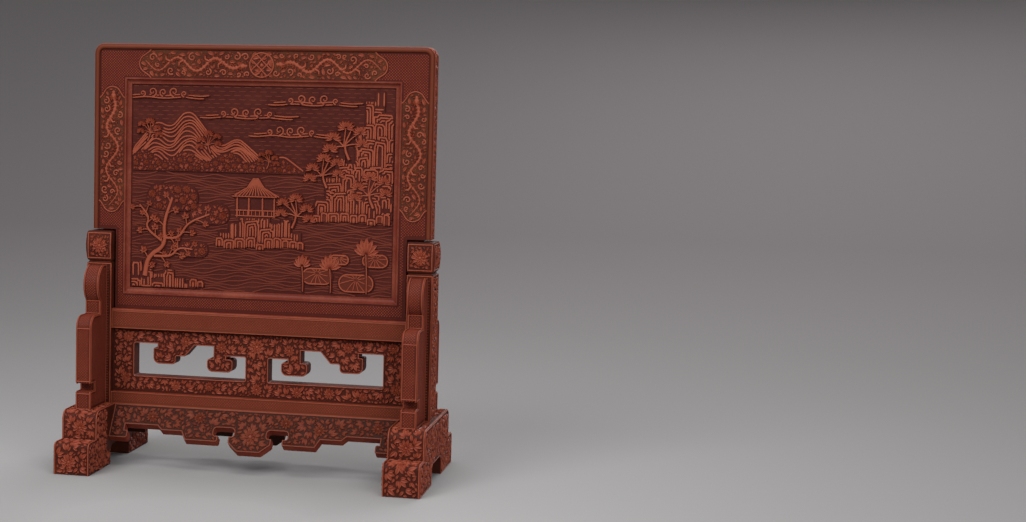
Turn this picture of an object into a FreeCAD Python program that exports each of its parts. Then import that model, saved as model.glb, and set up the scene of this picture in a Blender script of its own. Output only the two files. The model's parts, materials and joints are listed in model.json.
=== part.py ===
"""Carved lacquer table screen: a framed two-sided panel that slides down between the posts of a footed stand.

Millimetres. +X is the viewer's right, +Y the back, +Z up. The origin is on the table, under the middle.
"""
import FreeCAD
import Part
import math
import os
from typing import NamedTuple

from FreeCAD import Vector

# Feet: one block each, stepped at both ends and arched underneath
FOOT_WIDTH = 45.4
FOOT_LENGTH = 245.6
FOOT_HEIGHT = 76.0
TOE_LENGTH = 30.6            # low step at each end of a foot
TOE_HEIGHT = 40.0
TOE_RADIUS = 6.0
INSTEP_RADIUS = 11.0         # rounded end edge of the high block
ARCH_LENGTH = 76.0
ARCH_HEIGHT = 25.0
ARCH_RADIUS = 12.0

# Posts: square shafts with a cushion finial, grooved for the panel
POST_WIDTH = 32.4
POST_DEPTH = 41.2
POST_TOP = 300.0
FINIAL_HEIGHT = 37.0
FINIAL_BULGE = 2.0
FINIAL_EDGE = 1.5
NECK_HEIGHT = 4.0            # vee cut round the post under the finial
NECK_CUT = 2.0
POST_TENON_WIDTH = 17.0
POST_TENON_DEPTH = 27.0
POST_TENON_LENGTH = 36.0

# Spandrels: lobed buttress boards before and behind each post
SPANDREL_THICKNESS = 18.6
SPANDREL_REACH = 59.8        # from the post's face to the front of the block
SPANDREL_NECK_REACH = 42.0
SPANDREL_HIGH_NECK_REACH = 24.0
SPANDREL_LOBE_REACH = 33.5
SPANDREL_TIP_REACH = 6.0
PLINTH_HEIGHT = 23.0         # heights of the spandrel's stages, upwards from the foot
LOW_NECK_HEIGHT = 11.0
BLOCK_HEIGHT = 85.0
HIGH_NECK_HEIGHT = 18.0
LOBE_HEIGHT = 44.0
BLOCK_RADIUS = 14.0
STAGE_RADIUS = 1.5

# Rails between the posts
RAIL_DEPTH = 37.2
SEAT_HEIGHT = 200.0          # top of the seat rail, where the panel stands
SEAT_RAIL_HEIGHT = 25.0
SEAT_EDGE_RADIUS = 2.5
LOWER_RAIL_HEIGHT = 16.0
RAIL_TENON_LENGTH = 16.0
RAIL_TENON_THICKNESS = 12.0
RAIL_TENON_SHOULDER = 4.0

# Pierced board between the rails, its openings drawn for a board of this height and half length
BOARD_DRAWN_HEIGHT = 83.0
BOARD_DRAWN_REACH = 193.0
BOARD_THICKNESS = 21.0
BOARD_TONGUE_LENGTH = 5.0
BOARD_TONGUE_THICKNESS = 8.0
BOARD_END_BAR = 29.0         # post to opening
BOARD_SILL = 21.0            # lower rail to opening
BOARD_HEAD = 19.0            # opening to seat rail
STRUT_WIDTH = 30.0           # bar in the middle, between the two openings
STRUT_HEAD_DROP = 12.0       # the opening is lower beside the strut
OPENING_RADIUS = 2.0
CLOUD_GAP = 26.0             # end of the opening to the cloud-shaped bracket
CLOUD_LENGTH = 55.0
CLOUD_HEAD_LENGTH = 30.0
CLOUD_DROP = 26.0
CLOUD_STEP_DROP = 15.0
CLOUD_STEP_LENGTH = 12.0
CLOUD_RADIUS = 8.0
HOOK_SIZE = 5.5
TEE_HEAD_LENGTH = 34.0       # tee-shaped bracket between the cloud and the strut
TEE_STEM_WIDTH = 17.0
TEE_HEAD_HEIGHT = 17.0
TEE_DROP = 33.0
TEE_RADIUS = 7.5

# Aprons: slanted boards below the lower rail, heights measured straight up from the table,
# lengths drawn for an apron of this half length
APRON_DRAWN_REACH = 186.5
APRON_THICKNESS = 12.0
APRON_LEAN = 35.0            # degrees from upright
APRON_TONGUE_LENGTH = 5.0    # housed in the feet and in the lower rail
APRON_TONGUE_THICKNESS = 6.0
APRON_CENTRE_FLAT = 15.0     # half length of the lowest flat
APRON_CENTRE_HEIGHT = 29.0
APRON_CENTRE_SLOPE = 13.0
KEYHOLE_NECK = 14.0
KEYHOLE_HEAD = 27.0
KEYHOLE_HEAD_HEIGHT = 9.5
KEYHOLE_TOP = 55.0
KEYHOLE_RADIUS = 4.5
APRON_LOBE_LENGTH = 43.0     # flats that step up towards the foot
APRON_LOBE_HEIGHT = 38.6
APRON_STEP_LENGTH = 27.0
APRON_STEP_HEIGHT = 48.0
APRON_END_HEIGHT = 53.0
APRON_RAMP = 6.0
APRON_HOOK_LENGTH = 24.6
APRON_HOOK_HEIGHT = 37.0
APRON_HOOK_NECK = 5.0
APRON_HOOK_LOBE = 9.0
APRON_HOOK_RADIUS = 3.0

# Panel frame
PANEL_WIDTH = 440.0
PANEL_HEIGHT = 340.0
PANEL_THICKNESS = 24.0
PANEL_CORNER_RADIUS = 12.0
STILE_WIDTH = 40.0
TOP_RAIL_WIDTH = 42.0
BOTTOM_RAIL_WIDTH = 19.5
RIM_WIDTH = 6.0              # raised outer border of the frame
NOTCH_BEAD = 2.5             # narrow raised border below the shoulders
FIELD_DEPTH = 1.0            # carved ground, sunk below the border
POST_OVERLAP = 27.0          # how far the panel's upper part stands out past the inner face of a post
SHOULDER_GAP = 2.6           # beside the post and above its finial
TONGUE_THICKNESS = 10.0
TONGUE_LENGTH = 17.0         # inside the post
SLIDE_CLEARANCE = 0.3        # each side of the tongue, in the groove
FRAME_TENON_LENGTH = 8.0
FRAME_TENON_THICKNESS = 6.0
FRAME_TENON_SHOULDER = 4.0
CORNER_KEY_LENGTH = 22.0
CORNER_KEY_WIDTH = 16.0
CORNER_KEY_THICKNESS = 4.0

# Boards and mouldings inside the frame
FACE_RECESS = 6.5            # from the border to the face of a board
CORE_THICKNESS = 3.0
CORE_TONGUE = 5.0            # into the frame's groove
BEAD_WIDTH = 8.0
BEAD_LINE = 2.0              # narrow raised line along each edge of a bead
BEAD_LIP = 2.0               # height of a bead's inner line over the board
BEAD_COVE = 1.5              # sag of the hollow between the two lines

# Landforms raised on the picture board, drawn from the middle of the lower edge of a picture this large,
# with the rocks of a row listed from left to right and the peaks of the hills from right to left
PICTURE_DRAWN_REACH = 172.0
PICTURE_DRAWN_HEIGHT = 262.5
LAND_RISE = 1.8              # over the board
LAND_MARGIN = 1.5            # bare strip along the beads
CLIFF_START = 72.0
CLIFF_BASE = 98.0
CLIFF_TOPS = (122.0, 150.0, 178.0, 168.0, 214.0, 246.0, 258.0, 232.0)
TERRACE_REACH = 54.0
TERRACE_BASE = 62.0
TERRACE_TOPS = (76.0, 88.0, 96.0, 96.0, 96.0, 90.0, 94.0, 78.0)
BANK_END = -84.0
BANK_TOPS = (36.0, 30.0, 20.0, 25.0, 15.0, 9.0)
HILL_BASE = 152.0
HILL_RADIUS = 12.0
HILL_PEAKS = ((58, 156), (30, 176), (6, 168), (-30, 198), (-54, 184), (-96, 236), (-118, 208), (-138, 218),
              (-170.5, 180))
ROOF_MIDDLE = -6.0           # pavilion on the terrace
ROOF_EAVES = 122.0
ROOF_RIDGE = 146.0
ROOF_HALF_LENGTH = 32.0
RIDGE_HALF_LENGTH = 4.0
TREE_CROWNS = ((-116, 118, 34, 17), (-66, 98, 26, 13), (-88, 52, 20, 10))      # middle and half size
LOTUS_LEAVES = ((76, 24, 20, 11), (126, 17, 23, 12), (150, 46, 17, 9), (104, 46, 13, 7))
CLOUDS = ((-20, 226, 38, 5), (38, 204, 34, 5), (66, 244, 36, 5), (-130, 250, 34, 5))

# Pegs and dowels
PEG_DIAMETER = 5.0
PEG_SIDES = 8
PEG_END_WOOD = 7.0           # wood left beyond the blind end of a peg
RAIL_PEG_INSET = 10.4        # from the inner face of a post
DOWEL_LENGTH = 20.0
DOWEL_INSET = 21.0           # from each end of a spandrel's tall block
FRAME_PEG_DIAMETER = 4.0

# Limits of the outlines
ROUND_LIMIT = 0.49           # most of a side that the round of one corner may take
TOLERANCE = 1e-6

# Places that follow from the sizes
panel_side_x = PANEL_WIDTH / 2
post_inner_x = panel_side_x - POST_OVERLAP
post_outer_x = post_inner_x + POST_WIDTH
foot_centre_x = post_inner_x + POST_WIDTH / 2    # also the middle of the spandrels
foot_inner_x = foot_centre_x - FOOT_WIDTH / 2
post_face_y = POST_DEPTH / 2
finial_base = POST_TOP - FINIAL_HEIGHT
seat_rail_base = SEAT_HEIGHT - SEAT_RAIL_HEIGHT
lower_rail_top = FOOT_HEIGHT + LOWER_RAIL_HEIGHT
panel_face_y = PANEL_THICKNESS / 2
panel_top = SEAT_HEIGHT + PANEL_HEIGHT
shoulder_x = post_inner_x - SHOULDER_GAP
shoulder_z = POST_TOP + SHOULDER_GAP
tongue_x = post_inner_x + TONGUE_LENGTH
sight_x = panel_side_x - STILE_WIDTH
sight_low = SEAT_HEIGHT + BOTTOM_RAIL_WIDTH
sight_high = panel_top - TOP_RAIL_WIDTH
board_face_y = panel_face_y - FACE_RECESS
core_face_y = CORE_THICKNESS / 2


class Corner(NamedTuple):
    """A corner of an outline, rounded where it has a radius."""

    u: float
    v: float
    radius: float = 0.0


class Bow(NamedTuple):
    """A point that the side between two sharp corners bends through."""

    u: float
    v: float


def side_view(x):
    """Lay an outline of (y, z) points in the upright plane at x."""
    return lambda p: Vector(x, p.x, p.y)


def front_view(y):
    """Lay an outline of (x, z) points in the upright plane at y."""
    return lambda p: Vector(p.x, y, p.y)


def top_view(z):
    """Lay an outline of (x, y) points in the level plane at z."""
    return lambda p: Vector(p.x, p.y, z)


def round_corner(before, corner, after):
    """Return where a corner's round starts, its middle and where it ends, held within its two sides."""
    point = Vector(corner.u, corner.v, 0)
    if corner.radius <= 0:
        return point, point, point
    back = Vector(before.u, before.v, 0) - point
    ahead = Vector(after.u, after.v, 0) - point
    half = back.getAngle(ahead) / 2
    reach = min(corner.radius / math.tan(half), ROUND_LIMIT * min(back.Length, ahead.Length))
    radius = reach * math.tan(half)
    back.normalize()
    ahead.normalize()
    inward = (back + ahead).normalize()
    middle = point + inward * (radius / math.sin(half) - radius)
    return point + back * reach, middle, point + ahead * reach


def outline_wire(outline, place):
    """Closed wire of an outline's lines, rounds and bows."""
    corners = [item for item in outline if isinstance(item, Corner)]
    bows = {}
    for item in outline:
        if isinstance(item, Corner):
            last = item
        else:
            bows[corners.index(last)] = item
    rounds = [round_corner(corners[i - 1], corners[i], corners[(i + 1) % len(corners)])
              for i in range(len(corners))]
    edges = []
    for i, (start, middle, end) in enumerate(rounds):
        if (end - start).Length > TOLERANCE:
            edges.append(Part.Arc(place(start), place(middle), place(end)).toShape())
        following = rounds[(i + 1) % len(rounds)][0]
        if i in bows:
            through = Vector(bows[i].u, bows[i].v, 0)
            edges.append(Part.Arc(place(end), place(through), place(following)).toShape())
        elif (following - end).Length > TOLERANCE:
            edges.append(Part.LineSegment(place(end), place(following)).toShape())
    return Part.Wire(edges)


def prism(outline, place, sweep):
    """Solid of an outline swept straight along a vector."""
    return Part.Face(outline_wire(outline, place)).extrude(sweep)


def block(low, high):
    """Box between two opposite corners."""
    return Part.makeBox(high[0] - low[0], high[1] - low[1], high[2] - low[2], Vector(*low))


def peg(start, direction, length, diameter):
    """Whittled peg, eight-sided, from a point along a direction."""
    axis = Vector(*direction)
    turn = FreeCAD.Rotation(Vector(0, 0, 1), axis)
    ring = []
    for i in range(PEG_SIDES + 1):
        angle = math.radians(360 / PEG_SIDES * (i + 0.5))
        spoke = Vector(math.cos(angle), math.sin(angle), 0) * (diameter / 2)
        ring.append(Vector(*start) + turn.multVec(spoke))
    return Part.Face(Part.makePolygon(ring)).extrude(axis * length)


def to_left(shape):
    """Mirror a right-hand piece to the left."""
    return shape.mirror(Vector(0, 0, 0), Vector(1, 0, 0))


def to_rear(shape):
    """Mirror a front piece to the back."""
    return shape.mirror(Vector(0, 0, 0), Vector(0, 1, 0))


def both_sides(outline):
    """Complete the right half of an outline, listed upwards, with its mirrored left half."""
    left = [item._replace(u=-item.u) for item in reversed(outline)]
    return outline + left


def turned(outline):
    """Swap the two directions of an outline."""
    return [item._replace(u=item.v, v=item.u) for item in outline]


def foot():
    """Right foot: stepped ends, arch underneath and a mortise for the post."""
    end = FOOT_LENGTH / 2
    instep = end - TOE_LENGTH
    arch = ARCH_LENGTH / 2
    profile = both_sides([
        Corner(arch, 0), Corner(end, 0), Corner(end, TOE_HEIGHT, TOE_RADIUS), Corner(instep, TOE_HEIGHT),
        Corner(instep, FOOT_HEIGHT, INSTEP_RADIUS)])
    profile += [Corner(-arch, ARCH_HEIGHT, ARCH_RADIUS), Corner(arch, ARCH_HEIGHT, ARCH_RADIUS)]
    return prism(profile, side_view(foot_inner_x), Vector(FOOT_WIDTH, 0, 0))


def post_tenon():
    """Tenon under the right post, inside the foot."""
    half_x, half_y = POST_TENON_WIDTH / 2, POST_TENON_DEPTH / 2
    return block((foot_centre_x - half_x, -half_y, FOOT_HEIGHT - POST_TENON_LENGTH),
                 (foot_centre_x + half_x, half_y, FOOT_HEIGHT))


def finial():
    """Cushion finial of the right post: bowed to the front, the back and the outer side."""
    middle = (finial_base + POST_TOP) / 2
    seen_from_front = [
        Corner(post_inner_x, finial_base), Corner(post_outer_x, finial_base),
        Bow(post_outer_x + FINIAL_BULGE, middle), Corner(post_outer_x, POST_TOP),
        Corner(post_inner_x, POST_TOP)]
    seen_from_side = [
        Corner(-post_face_y, finial_base), Corner(post_face_y, finial_base),
        Bow(post_face_y + FINIAL_BULGE, middle), Corner(post_face_y, POST_TOP),
        Corner(-post_face_y, POST_TOP), Bow(-post_face_y - FINIAL_BULGE, middle)]
    reach = post_face_y + FINIAL_BULGE
    across = prism(seen_from_front, front_view(-reach), Vector(0, 2 * reach, 0))
    along = prism(seen_from_side, side_view(post_inner_x), Vector(POST_WIDTH + FINIAL_BULGE, 0, 0))
    cushion = across.common(along)
    upper_edges = [edge for edge in cushion.Edges
                   if all(abs(vertex.Z - POST_TOP) < TOLERANCE for vertex in edge.Vertexes)]
    return cushion.makeFillet(FINIAL_EDGE, upper_edges)


def neck_cut():
    """Vee-shaped ring that marks the finial off from the shaft of the right post."""
    low, high = finial_base - NECK_HEIGHT, finial_base
    middle = (low + high) / 2
    half_x, half_y = POST_WIDTH / 2, POST_DEPTH / 2
    levels = [(low, 0), (middle, NECK_CUT), (high, 0)]
    rings = []
    for z, inset in levels:
        x, y = half_x - inset, half_y - inset
        ring = [Corner(foot_centre_x + sx * x, sy * y) for sx, sy in ((-1, -1), (1, -1), (1, 1), (-1, 1))]
        rings.append(outline_wire(ring, top_view(z)))
    waist = Part.makeLoft(rings, True, True)
    shaft = block((post_inner_x, -half_y, low), (post_outer_x, half_y, high))
    return shaft.cut(waist)


def panel_groove():
    """Groove in the right post for the panel's tongue, open at the top and just clear below the seat."""
    half = TONGUE_THICKNESS / 2 + SLIDE_CLEARANCE
    return block((post_inner_x, -half, SEAT_HEIGHT - SLIDE_CLEARANCE),
                 (tongue_x + SLIDE_CLEARANCE, half, POST_TOP))


def post():
    """Right post with its tenon, finial and panel groove, before the rails' mortises are cut."""
    shaft = block((post_inner_x, -post_face_y, FOOT_HEIGHT), (post_outer_x, post_face_y, finial_base))
    return shaft.fuse([finial(), post_tenon()]).cut([neck_cut(), panel_groove()])


def spandrel():
    """Front right spandrel: plinth, neck, tall block, upper neck and a bowed lobe against the post."""
    back = -post_face_y
    front = back - SPANDREL_REACH
    neck = back - SPANDREL_NECK_REACH
    high_neck = back - SPANDREL_HIGH_NECK_REACH
    z_plinth = FOOT_HEIGHT + PLINTH_HEIGHT
    z_neck = z_plinth + LOW_NECK_HEIGHT
    z_block = z_neck + BLOCK_HEIGHT
    z_high_neck = z_block + HIGH_NECK_HEIGHT
    z_lobe = z_high_neck + LOBE_HEIGHT
    profile = [
        Corner(back, FOOT_HEIGHT), Corner(back, z_lobe), Corner(back - SPANDREL_TIP_REACH, z_lobe),
        Bow(back - SPANDREL_LOBE_REACH, (z_high_neck + z_lobe) / 2),
        Corner(high_neck, z_high_neck), Corner(high_neck, z_block),
        Corner(front, z_block, BLOCK_RADIUS), Corner(front, z_neck, STAGE_RADIUS),
        Corner(neck, z_neck), Corner(neck, z_plinth),
        Corner(front, z_plinth, STAGE_RADIUS), Corner(front, FOOT_HEIGHT)]
    inner_x = foot_centre_x - SPANDREL_THICKNESS / 2
    return prism(profile, side_view(inner_x), Vector(SPANDREL_THICKNESS, 0, 0))


def rail_tenons(low, high):
    """Tenons at both ends of a rail that spans from low to high."""
    half = RAIL_TENON_THICKNESS / 2
    right = block((post_inner_x, -half, low + RAIL_TENON_SHOULDER),
                  (post_inner_x + RAIL_TENON_LENGTH, half, high - RAIL_TENON_SHOULDER))
    return [right, to_left(right)]


def seat_rail():
    """Rail that carries the panel, with eased upper edges."""
    half = RAIL_DEPTH / 2
    section = [Corner(-half, seat_rail_base), Corner(half, seat_rail_base),
               Corner(half, SEAT_HEIGHT, SEAT_EDGE_RADIUS), Corner(-half, SEAT_HEIGHT, SEAT_EDGE_RADIUS)]
    rail = prism(section, side_view(-post_inner_x), Vector(2 * post_inner_x, 0, 0))
    return rail.fuse(rail_tenons(seat_rail_base, SEAT_HEIGHT))


def lower_rail():
    """Rail that lies on the feet between the posts."""
    half = RAIL_DEPTH / 2
    rail = block((-post_inner_x, -half, FOOT_HEIGHT), (post_inner_x, half, lower_rail_top))
    return rail.fuse(rail_tenons(FOOT_HEIGHT, lower_rail_top))


def board_opening():
    """Right opening of the pierced board, round its cloud-shaped and tee-shaped hanging brackets.

    It is drawn from the middle of the board's lower edge, then stretched to the real board.
    """
    strut = STRUT_WIDTH / 2
    end = BOARD_DRAWN_REACH - BOARD_END_BAR
    sill = BOARD_SILL
    head = BOARD_DRAWN_HEIGHT - BOARD_HEAD
    cloud_out = end - CLOUD_GAP
    cloud_in = cloud_out - CLOUD_LENGTH
    cloud_low = head - CLOUD_DROP
    cloud_head_in = cloud_out - CLOUD_HEAD_LENGTH
    step_in = cloud_head_in - CLOUD_STEP_LENGTH
    step_low = head - CLOUD_STEP_DROP
    tee = (strut + cloud_in) / 2
    tee_head_low = head - TEE_DROP
    tee_head_top = tee_head_low + TEE_HEAD_HEIGHT
    head_half, stem_half = TEE_HEAD_LENGTH / 2, TEE_STEM_WIDTH / 2
    inner_head = head - STRUT_HEAD_DROP
    profile = [
        Corner(strut, sill, OPENING_RADIUS), Corner(end, sill, OPENING_RADIUS),
        Corner(end, head, OPENING_RADIUS),
        Corner(cloud_out - HOOK_SIZE, head), Corner(cloud_out - HOOK_SIZE, head - HOOK_SIZE),
        Corner(cloud_out, head - HOOK_SIZE, OPENING_RADIUS), Corner(cloud_out, cloud_low, CLOUD_RADIUS),
        Corner(cloud_head_in, cloud_low, CLOUD_RADIUS), Corner(cloud_head_in, step_low, OPENING_RADIUS),
        Corner(step_in, step_low, OPENING_RADIUS), Corner(cloud_in, head),
        Corner(tee + stem_half, head), Corner(tee + stem_half, tee_head_top),
        Corner(tee + head_half, tee_head_top, TEE_RADIUS), Corner(tee + head_half, tee_head_low, TEE_RADIUS),
        Corner(tee - head_half, tee_head_low, TEE_RADIUS), Corner(tee - head_half, tee_head_top, TEE_RADIUS),
        Corner(tee - stem_half, tee_head_top), Corner(tee - stem_half, inner_head),
        Corner(strut, inner_head, OPENING_RADIUS)]
    stretch = post_inner_x / BOARD_DRAWN_REACH
    rise = (seat_rail_base - lower_rail_top) / BOARD_DRAWN_HEIGHT
    fitted = [Corner(item.u * stretch, lower_rail_top + item.v * rise, item.radius * min(stretch, rise))
              for item in profile]
    return prism(fitted, front_view(-BOARD_THICKNESS), Vector(0, 2 * BOARD_THICKNESS, 0))


def openwork_board():
    """Pierced board between the rails, with a tongue on all four sides."""
    half = BOARD_THICKNESS / 2
    tongue_half = BOARD_TONGUE_THICKNESS / 2
    reach = BOARD_TONGUE_LENGTH
    body = block((-post_inner_x, -half, lower_rail_top), (post_inner_x, half, seat_rail_base))
    tongue = block((-post_inner_x - reach, -tongue_half, lower_rail_top - reach),
                   (post_inner_x + reach, tongue_half, seat_rail_base + reach))
    opening = board_opening()
    return body.fuse(tongue).cut([opening, to_left(opening)])


def lean(shape):
    """Tip an upright front piece outwards about the line where the apron meets the lower rail."""
    hinge = Vector(0, -RAIL_DEPTH / 2, FOOT_HEIGHT)
    shape.rotate(hinge, Vector(1, 0, 0), -APRON_LEAN)
    return shape


def apron_outline():
    """Scalloped outline of an apron before it is tipped, as long on the slope as its heights need.

    Its lengths are drawn from the middle, then stretched to the real distance between the feet.
    """
    slope = math.cos(math.radians(APRON_LEAN))

    def level(height):
        """Height on the upright board that comes down to this height once the board leans."""
        return FOOT_HEIGHT - (FOOT_HEIGHT - height) / slope

    neck_in = APRON_CENTRE_FLAT + APRON_CENTRE_SLOPE
    neck_out = neck_in + KEYHOLE_NECK
    key = (neck_in + neck_out) / 2
    head_half = KEYHOLE_HEAD / 2
    key_low = level(KEYHOLE_TOP - KEYHOLE_HEAD_HEIGHT)
    key_top = level(KEYHOLE_TOP)
    lobe_out = neck_out + APRON_LOBE_LENGTH
    step_in = lobe_out + APRON_RAMP
    step_out = step_in + APRON_STEP_LENGTH
    hook = APRON_DRAWN_REACH - APRON_HOOK_LENGTH
    hook_neck_x = hook + APRON_HOOK_NECK
    hook_top = level(APRON_HOOK_HEIGHT + APRON_HOOK_LOBE)
    half = [
        Corner(APRON_CENTRE_FLAT, level(APRON_CENTRE_HEIGHT), APRON_HOOK_RADIUS),
        Corner(neck_in, level(APRON_LOBE_HEIGHT), APRON_HOOK_RADIUS), Corner(neck_in, key_low),
        Corner(key - head_half, key_low, KEYHOLE_RADIUS), Corner(key - head_half, key_top, KEYHOLE_RADIUS),
        Corner(key + head_half, key_top, KEYHOLE_RADIUS), Corner(key + head_half, key_low, KEYHOLE_RADIUS),
        Corner(neck_out, key_low), Corner(neck_out, level(APRON_LOBE_HEIGHT), APRON_HOOK_RADIUS),
        Corner(lobe_out, level(APRON_LOBE_HEIGHT)), Corner(step_in, level(APRON_STEP_HEIGHT)),
        Corner(step_out, level(APRON_STEP_HEIGHT)), Corner(step_out + APRON_RAMP, level(APRON_END_HEIGHT)),
        Corner(hook_neck_x, level(APRON_END_HEIGHT)), Corner(hook_neck_x, hook_top),
        Corner(hook, hook_top, APRON_HOOK_RADIUS), Corner(hook, level(APRON_HOOK_HEIGHT), APRON_HOOK_RADIUS),
        Corner(APRON_DRAWN_REACH, level(APRON_HOOK_HEIGHT)),
        Corner(APRON_DRAWN_REACH, FOOT_HEIGHT + APRON_THICKNESS)]
    stretch = foot_inner_x / APRON_DRAWN_REACH
    return both_sides([Corner(item.u * stretch, item.v, item.radius * min(stretch, 1)) for item in half])


def apron_tongues():
    """Thin tongues of the front apron: one into each foot and one up into the lower rail."""
    face = -RAIL_DEPTH / 2 + (APRON_THICKNESS - APRON_TONGUE_THICKNESS) / 2
    slope = math.cos(math.radians(APRON_LEAN))
    low = FOOT_HEIGHT - (FOOT_HEIGHT - APRON_END_HEIGHT) / slope
    reach = foot_inner_x + APRON_TONGUE_LENGTH
    end = lean(block((foot_inner_x, face, low), (reach, face + APRON_TONGUE_THICKNESS, FOOT_HEIGHT)))
    end_top = FOOT_HEIGHT - APRON_TONGUE_LENGTH
    end = end.common(block((foot_inner_x, -FOOT_LENGTH, 0), (reach, FOOT_LENGTH, end_top)))
    middle = -RAIL_DEPTH / 2 + APRON_THICKNESS / slope / 2
    half = APRON_TONGUE_THICKNESS / 2
    upper = block((-foot_inner_x, middle - half, FOOT_HEIGHT),
                  (foot_inner_x, middle + half, FOOT_HEIGHT + APRON_TONGUE_LENGTH))
    return [end, to_left(end), upper]


def apron():
    """Front apron: a scalloped board that leans outwards under the lower rail."""
    board = prism(apron_outline(), front_view(-RAIL_DEPTH / 2), Vector(0, APRON_THICKNESS, 0))
    span = foot_inner_x
    under = block((-span, -FOOT_LENGTH, 0), (span, FOOT_LENGTH, FOOT_HEIGHT))
    return lean(board).common(under).fuse(apron_tongues())


def panel_field():
    """Ground inside the panel's raised border, as deep as the carving on the front."""
    rim_x = panel_side_x - RIM_WIDTH
    narrow = shoulder_x - NOTCH_BEAD
    field = both_sides([
        Corner(narrow, SEAT_HEIGHT + NOTCH_BEAD), Corner(narrow, shoulder_z + NOTCH_BEAD),
        Corner(rim_x, shoulder_z + NOTCH_BEAD),
        Corner(rim_x, panel_top - RIM_WIDTH, PANEL_CORNER_RADIUS - RIM_WIDTH)])
    return prism(field, front_view(-panel_face_y), Vector(0, FIELD_DEPTH, 0))


def core_board():
    """Thin board in the frame's groove that carries the two face boards."""
    return block((-sight_x - CORE_TONGUE, -core_face_y, sight_low - CORE_TONGUE),
                 (sight_x + CORE_TONGUE, core_face_y, sight_high + CORE_TONGUE))


def face_board():
    """Front face board, as large as the frame's opening."""
    return block((-sight_x, -board_face_y, sight_low), (sight_x, -core_face_y, sight_high))


def crag(left, right, base, tops):
    """Outline of a row of upright rocks, all as wide, with their tops from left to right."""
    step = (right - left) / len(tops)
    outline = [Corner(left, base), Corner(right, base)]
    for i in reversed(range(len(tops))):
        outline += [Corner(left + (i + 1) * step, tops[i]), Corner(left + i * step, tops[i])]
    return outline


def hills():
    """Outline of the far range of hills."""
    peaks = [Corner(u, v, HILL_RADIUS) for u, v in HILL_PEAKS]
    return [Corner(peaks[-1].u, HILL_BASE), Corner(peaks[0].u, HILL_BASE)] + peaks


def pavilion_roof():
    """Outline of the pavilion's roof, its slopes drawn in above the eaves."""
    slope_half = (ROOF_HALF_LENGTH + RIDGE_HALF_LENGTH) / 3
    slope = ROOF_EAVES + (ROOF_RIDGE - ROOF_EAVES) / 2
    right = [Corner(ROOF_HALF_LENGTH, ROOF_EAVES), Corner(slope_half, slope),
             Corner(RIDGE_HALF_LENGTH, ROOF_RIDGE)]
    return [item._replace(u=item.u + ROOF_MIDDLE) for item in both_sides(right)]


def pillow(u, v, half_length, half_height):
    """Outline with round ends, of a tree's crown, a leaf or a cloud."""
    signs = ((-1, -1), (1, -1), (1, 1), (-1, 1))
    return [Corner(u + a * half_length, v + b * half_height, half_height) for a, b in signs]


def landforms():
    """Raised forms of the landscape, stretched to the real picture between the beads."""
    edge = PICTURE_DRAWN_REACH - LAND_MARGIN
    outlines = [
        crag(CLIFF_START, edge, CLIFF_BASE, CLIFF_TOPS),
        crag(-TERRACE_REACH, TERRACE_REACH, TERRACE_BASE, TERRACE_TOPS),
        crag(-edge, BANK_END, LAND_MARGIN, BANK_TOPS),
        hills(), pavilion_roof()]
    outlines += [pillow(*sizes) for sizes in TREE_CROWNS + LOTUS_LEAVES + CLOUDS]
    low, high = sight_low + BEAD_WIDTH, sight_high - BEAD_WIDTH
    stretch = (sight_x - BEAD_WIDTH) / PICTURE_DRAWN_REACH
    rise = (high - low) / PICTURE_DRAWN_HEIGHT
    forms = []
    for outline in outlines:
        fitted = [Corner(item.u * stretch, low + item.v * rise, item.radius * min(stretch, rise))
                  for item in outline]
        forms.append(prism(fitted, front_view(-board_face_y - LAND_RISE), Vector(0, LAND_RISE, 0)))
    return forms


def frame_blank():
    """Silhouette of the whole panel, full width above its shoulders and narrow between the posts."""
    silhouette = both_sides([
        Corner(shoulder_x, SEAT_HEIGHT), Corner(shoulder_x, shoulder_z), Corner(panel_side_x, shoulder_z),
        Corner(panel_side_x, panel_top, PANEL_CORNER_RADIUS)])
    blank = prism(silhouette, front_view(-panel_face_y), Vector(0, PANEL_THICKNESS, 0))
    opening = block((-sight_x, -panel_face_y, sight_low), (sight_x, panel_face_y, sight_high))
    field = panel_field()
    return blank.cut([opening, field, to_rear(field), core_board()])


def mitre_wedge():
    """All that lies above the two top mitres of the frame."""
    above = both_sides([Corner(sight_x, sight_high), Corner(panel_side_x, panel_top),
                        Corner(panel_side_x, panel_top + TOP_RAIL_WIDTH)])
    return prism(above, front_view(-panel_face_y), Vector(0, PANEL_THICKNESS, 0))


def frame_tenon():
    """Tenon at the right end of the frame's bottom rail."""
    half = FRAME_TENON_THICKNESS / 2
    return block((sight_x, -half, SEAT_HEIGHT + FRAME_TENON_SHOULDER),
                 (sight_x + FRAME_TENON_LENGTH, half, sight_low - CORE_TONGUE - FRAME_TENON_SHOULDER / 2))


def panel_tongue():
    """Tongue on the right stile that slides in the post's groove."""
    half = TONGUE_THICKNESS / 2
    return block((shoulder_x, -half, SEAT_HEIGHT), (tongue_x, half, shoulder_z))


def corner_key():
    """Loose key across the right top mitre."""
    middle = Vector((sight_x + panel_side_x) / 2, 0, (sight_high + panel_top) / 2)
    key = Part.makeBox(CORNER_KEY_LENGTH, CORNER_KEY_THICKNESS, CORNER_KEY_WIDTH)
    key.translate(middle - Vector(CORNER_KEY_LENGTH, CORNER_KEY_THICKNESS, CORNER_KEY_WIDTH) / 2)
    across = math.degrees(math.atan2(TOP_RAIL_WIDTH, STILE_WIDTH)) - 90
    key.rotate(middle, Vector(0, 1, 0), -across)
    return key


def frame_peg():
    """Peg through the right tenon of the bottom rail, from the back of the stile."""
    tenon = frame_tenon().BoundBox
    middle_z = (tenon.ZMin + tenon.ZMax) / 2
    start = panel_face_y - FIELD_DEPTH
    return peg((sight_x + FRAME_TENON_LENGTH / 2, start, middle_z), (0, -1, 0),
               start + board_face_y, FRAME_PEG_DIAMETER)


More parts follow.
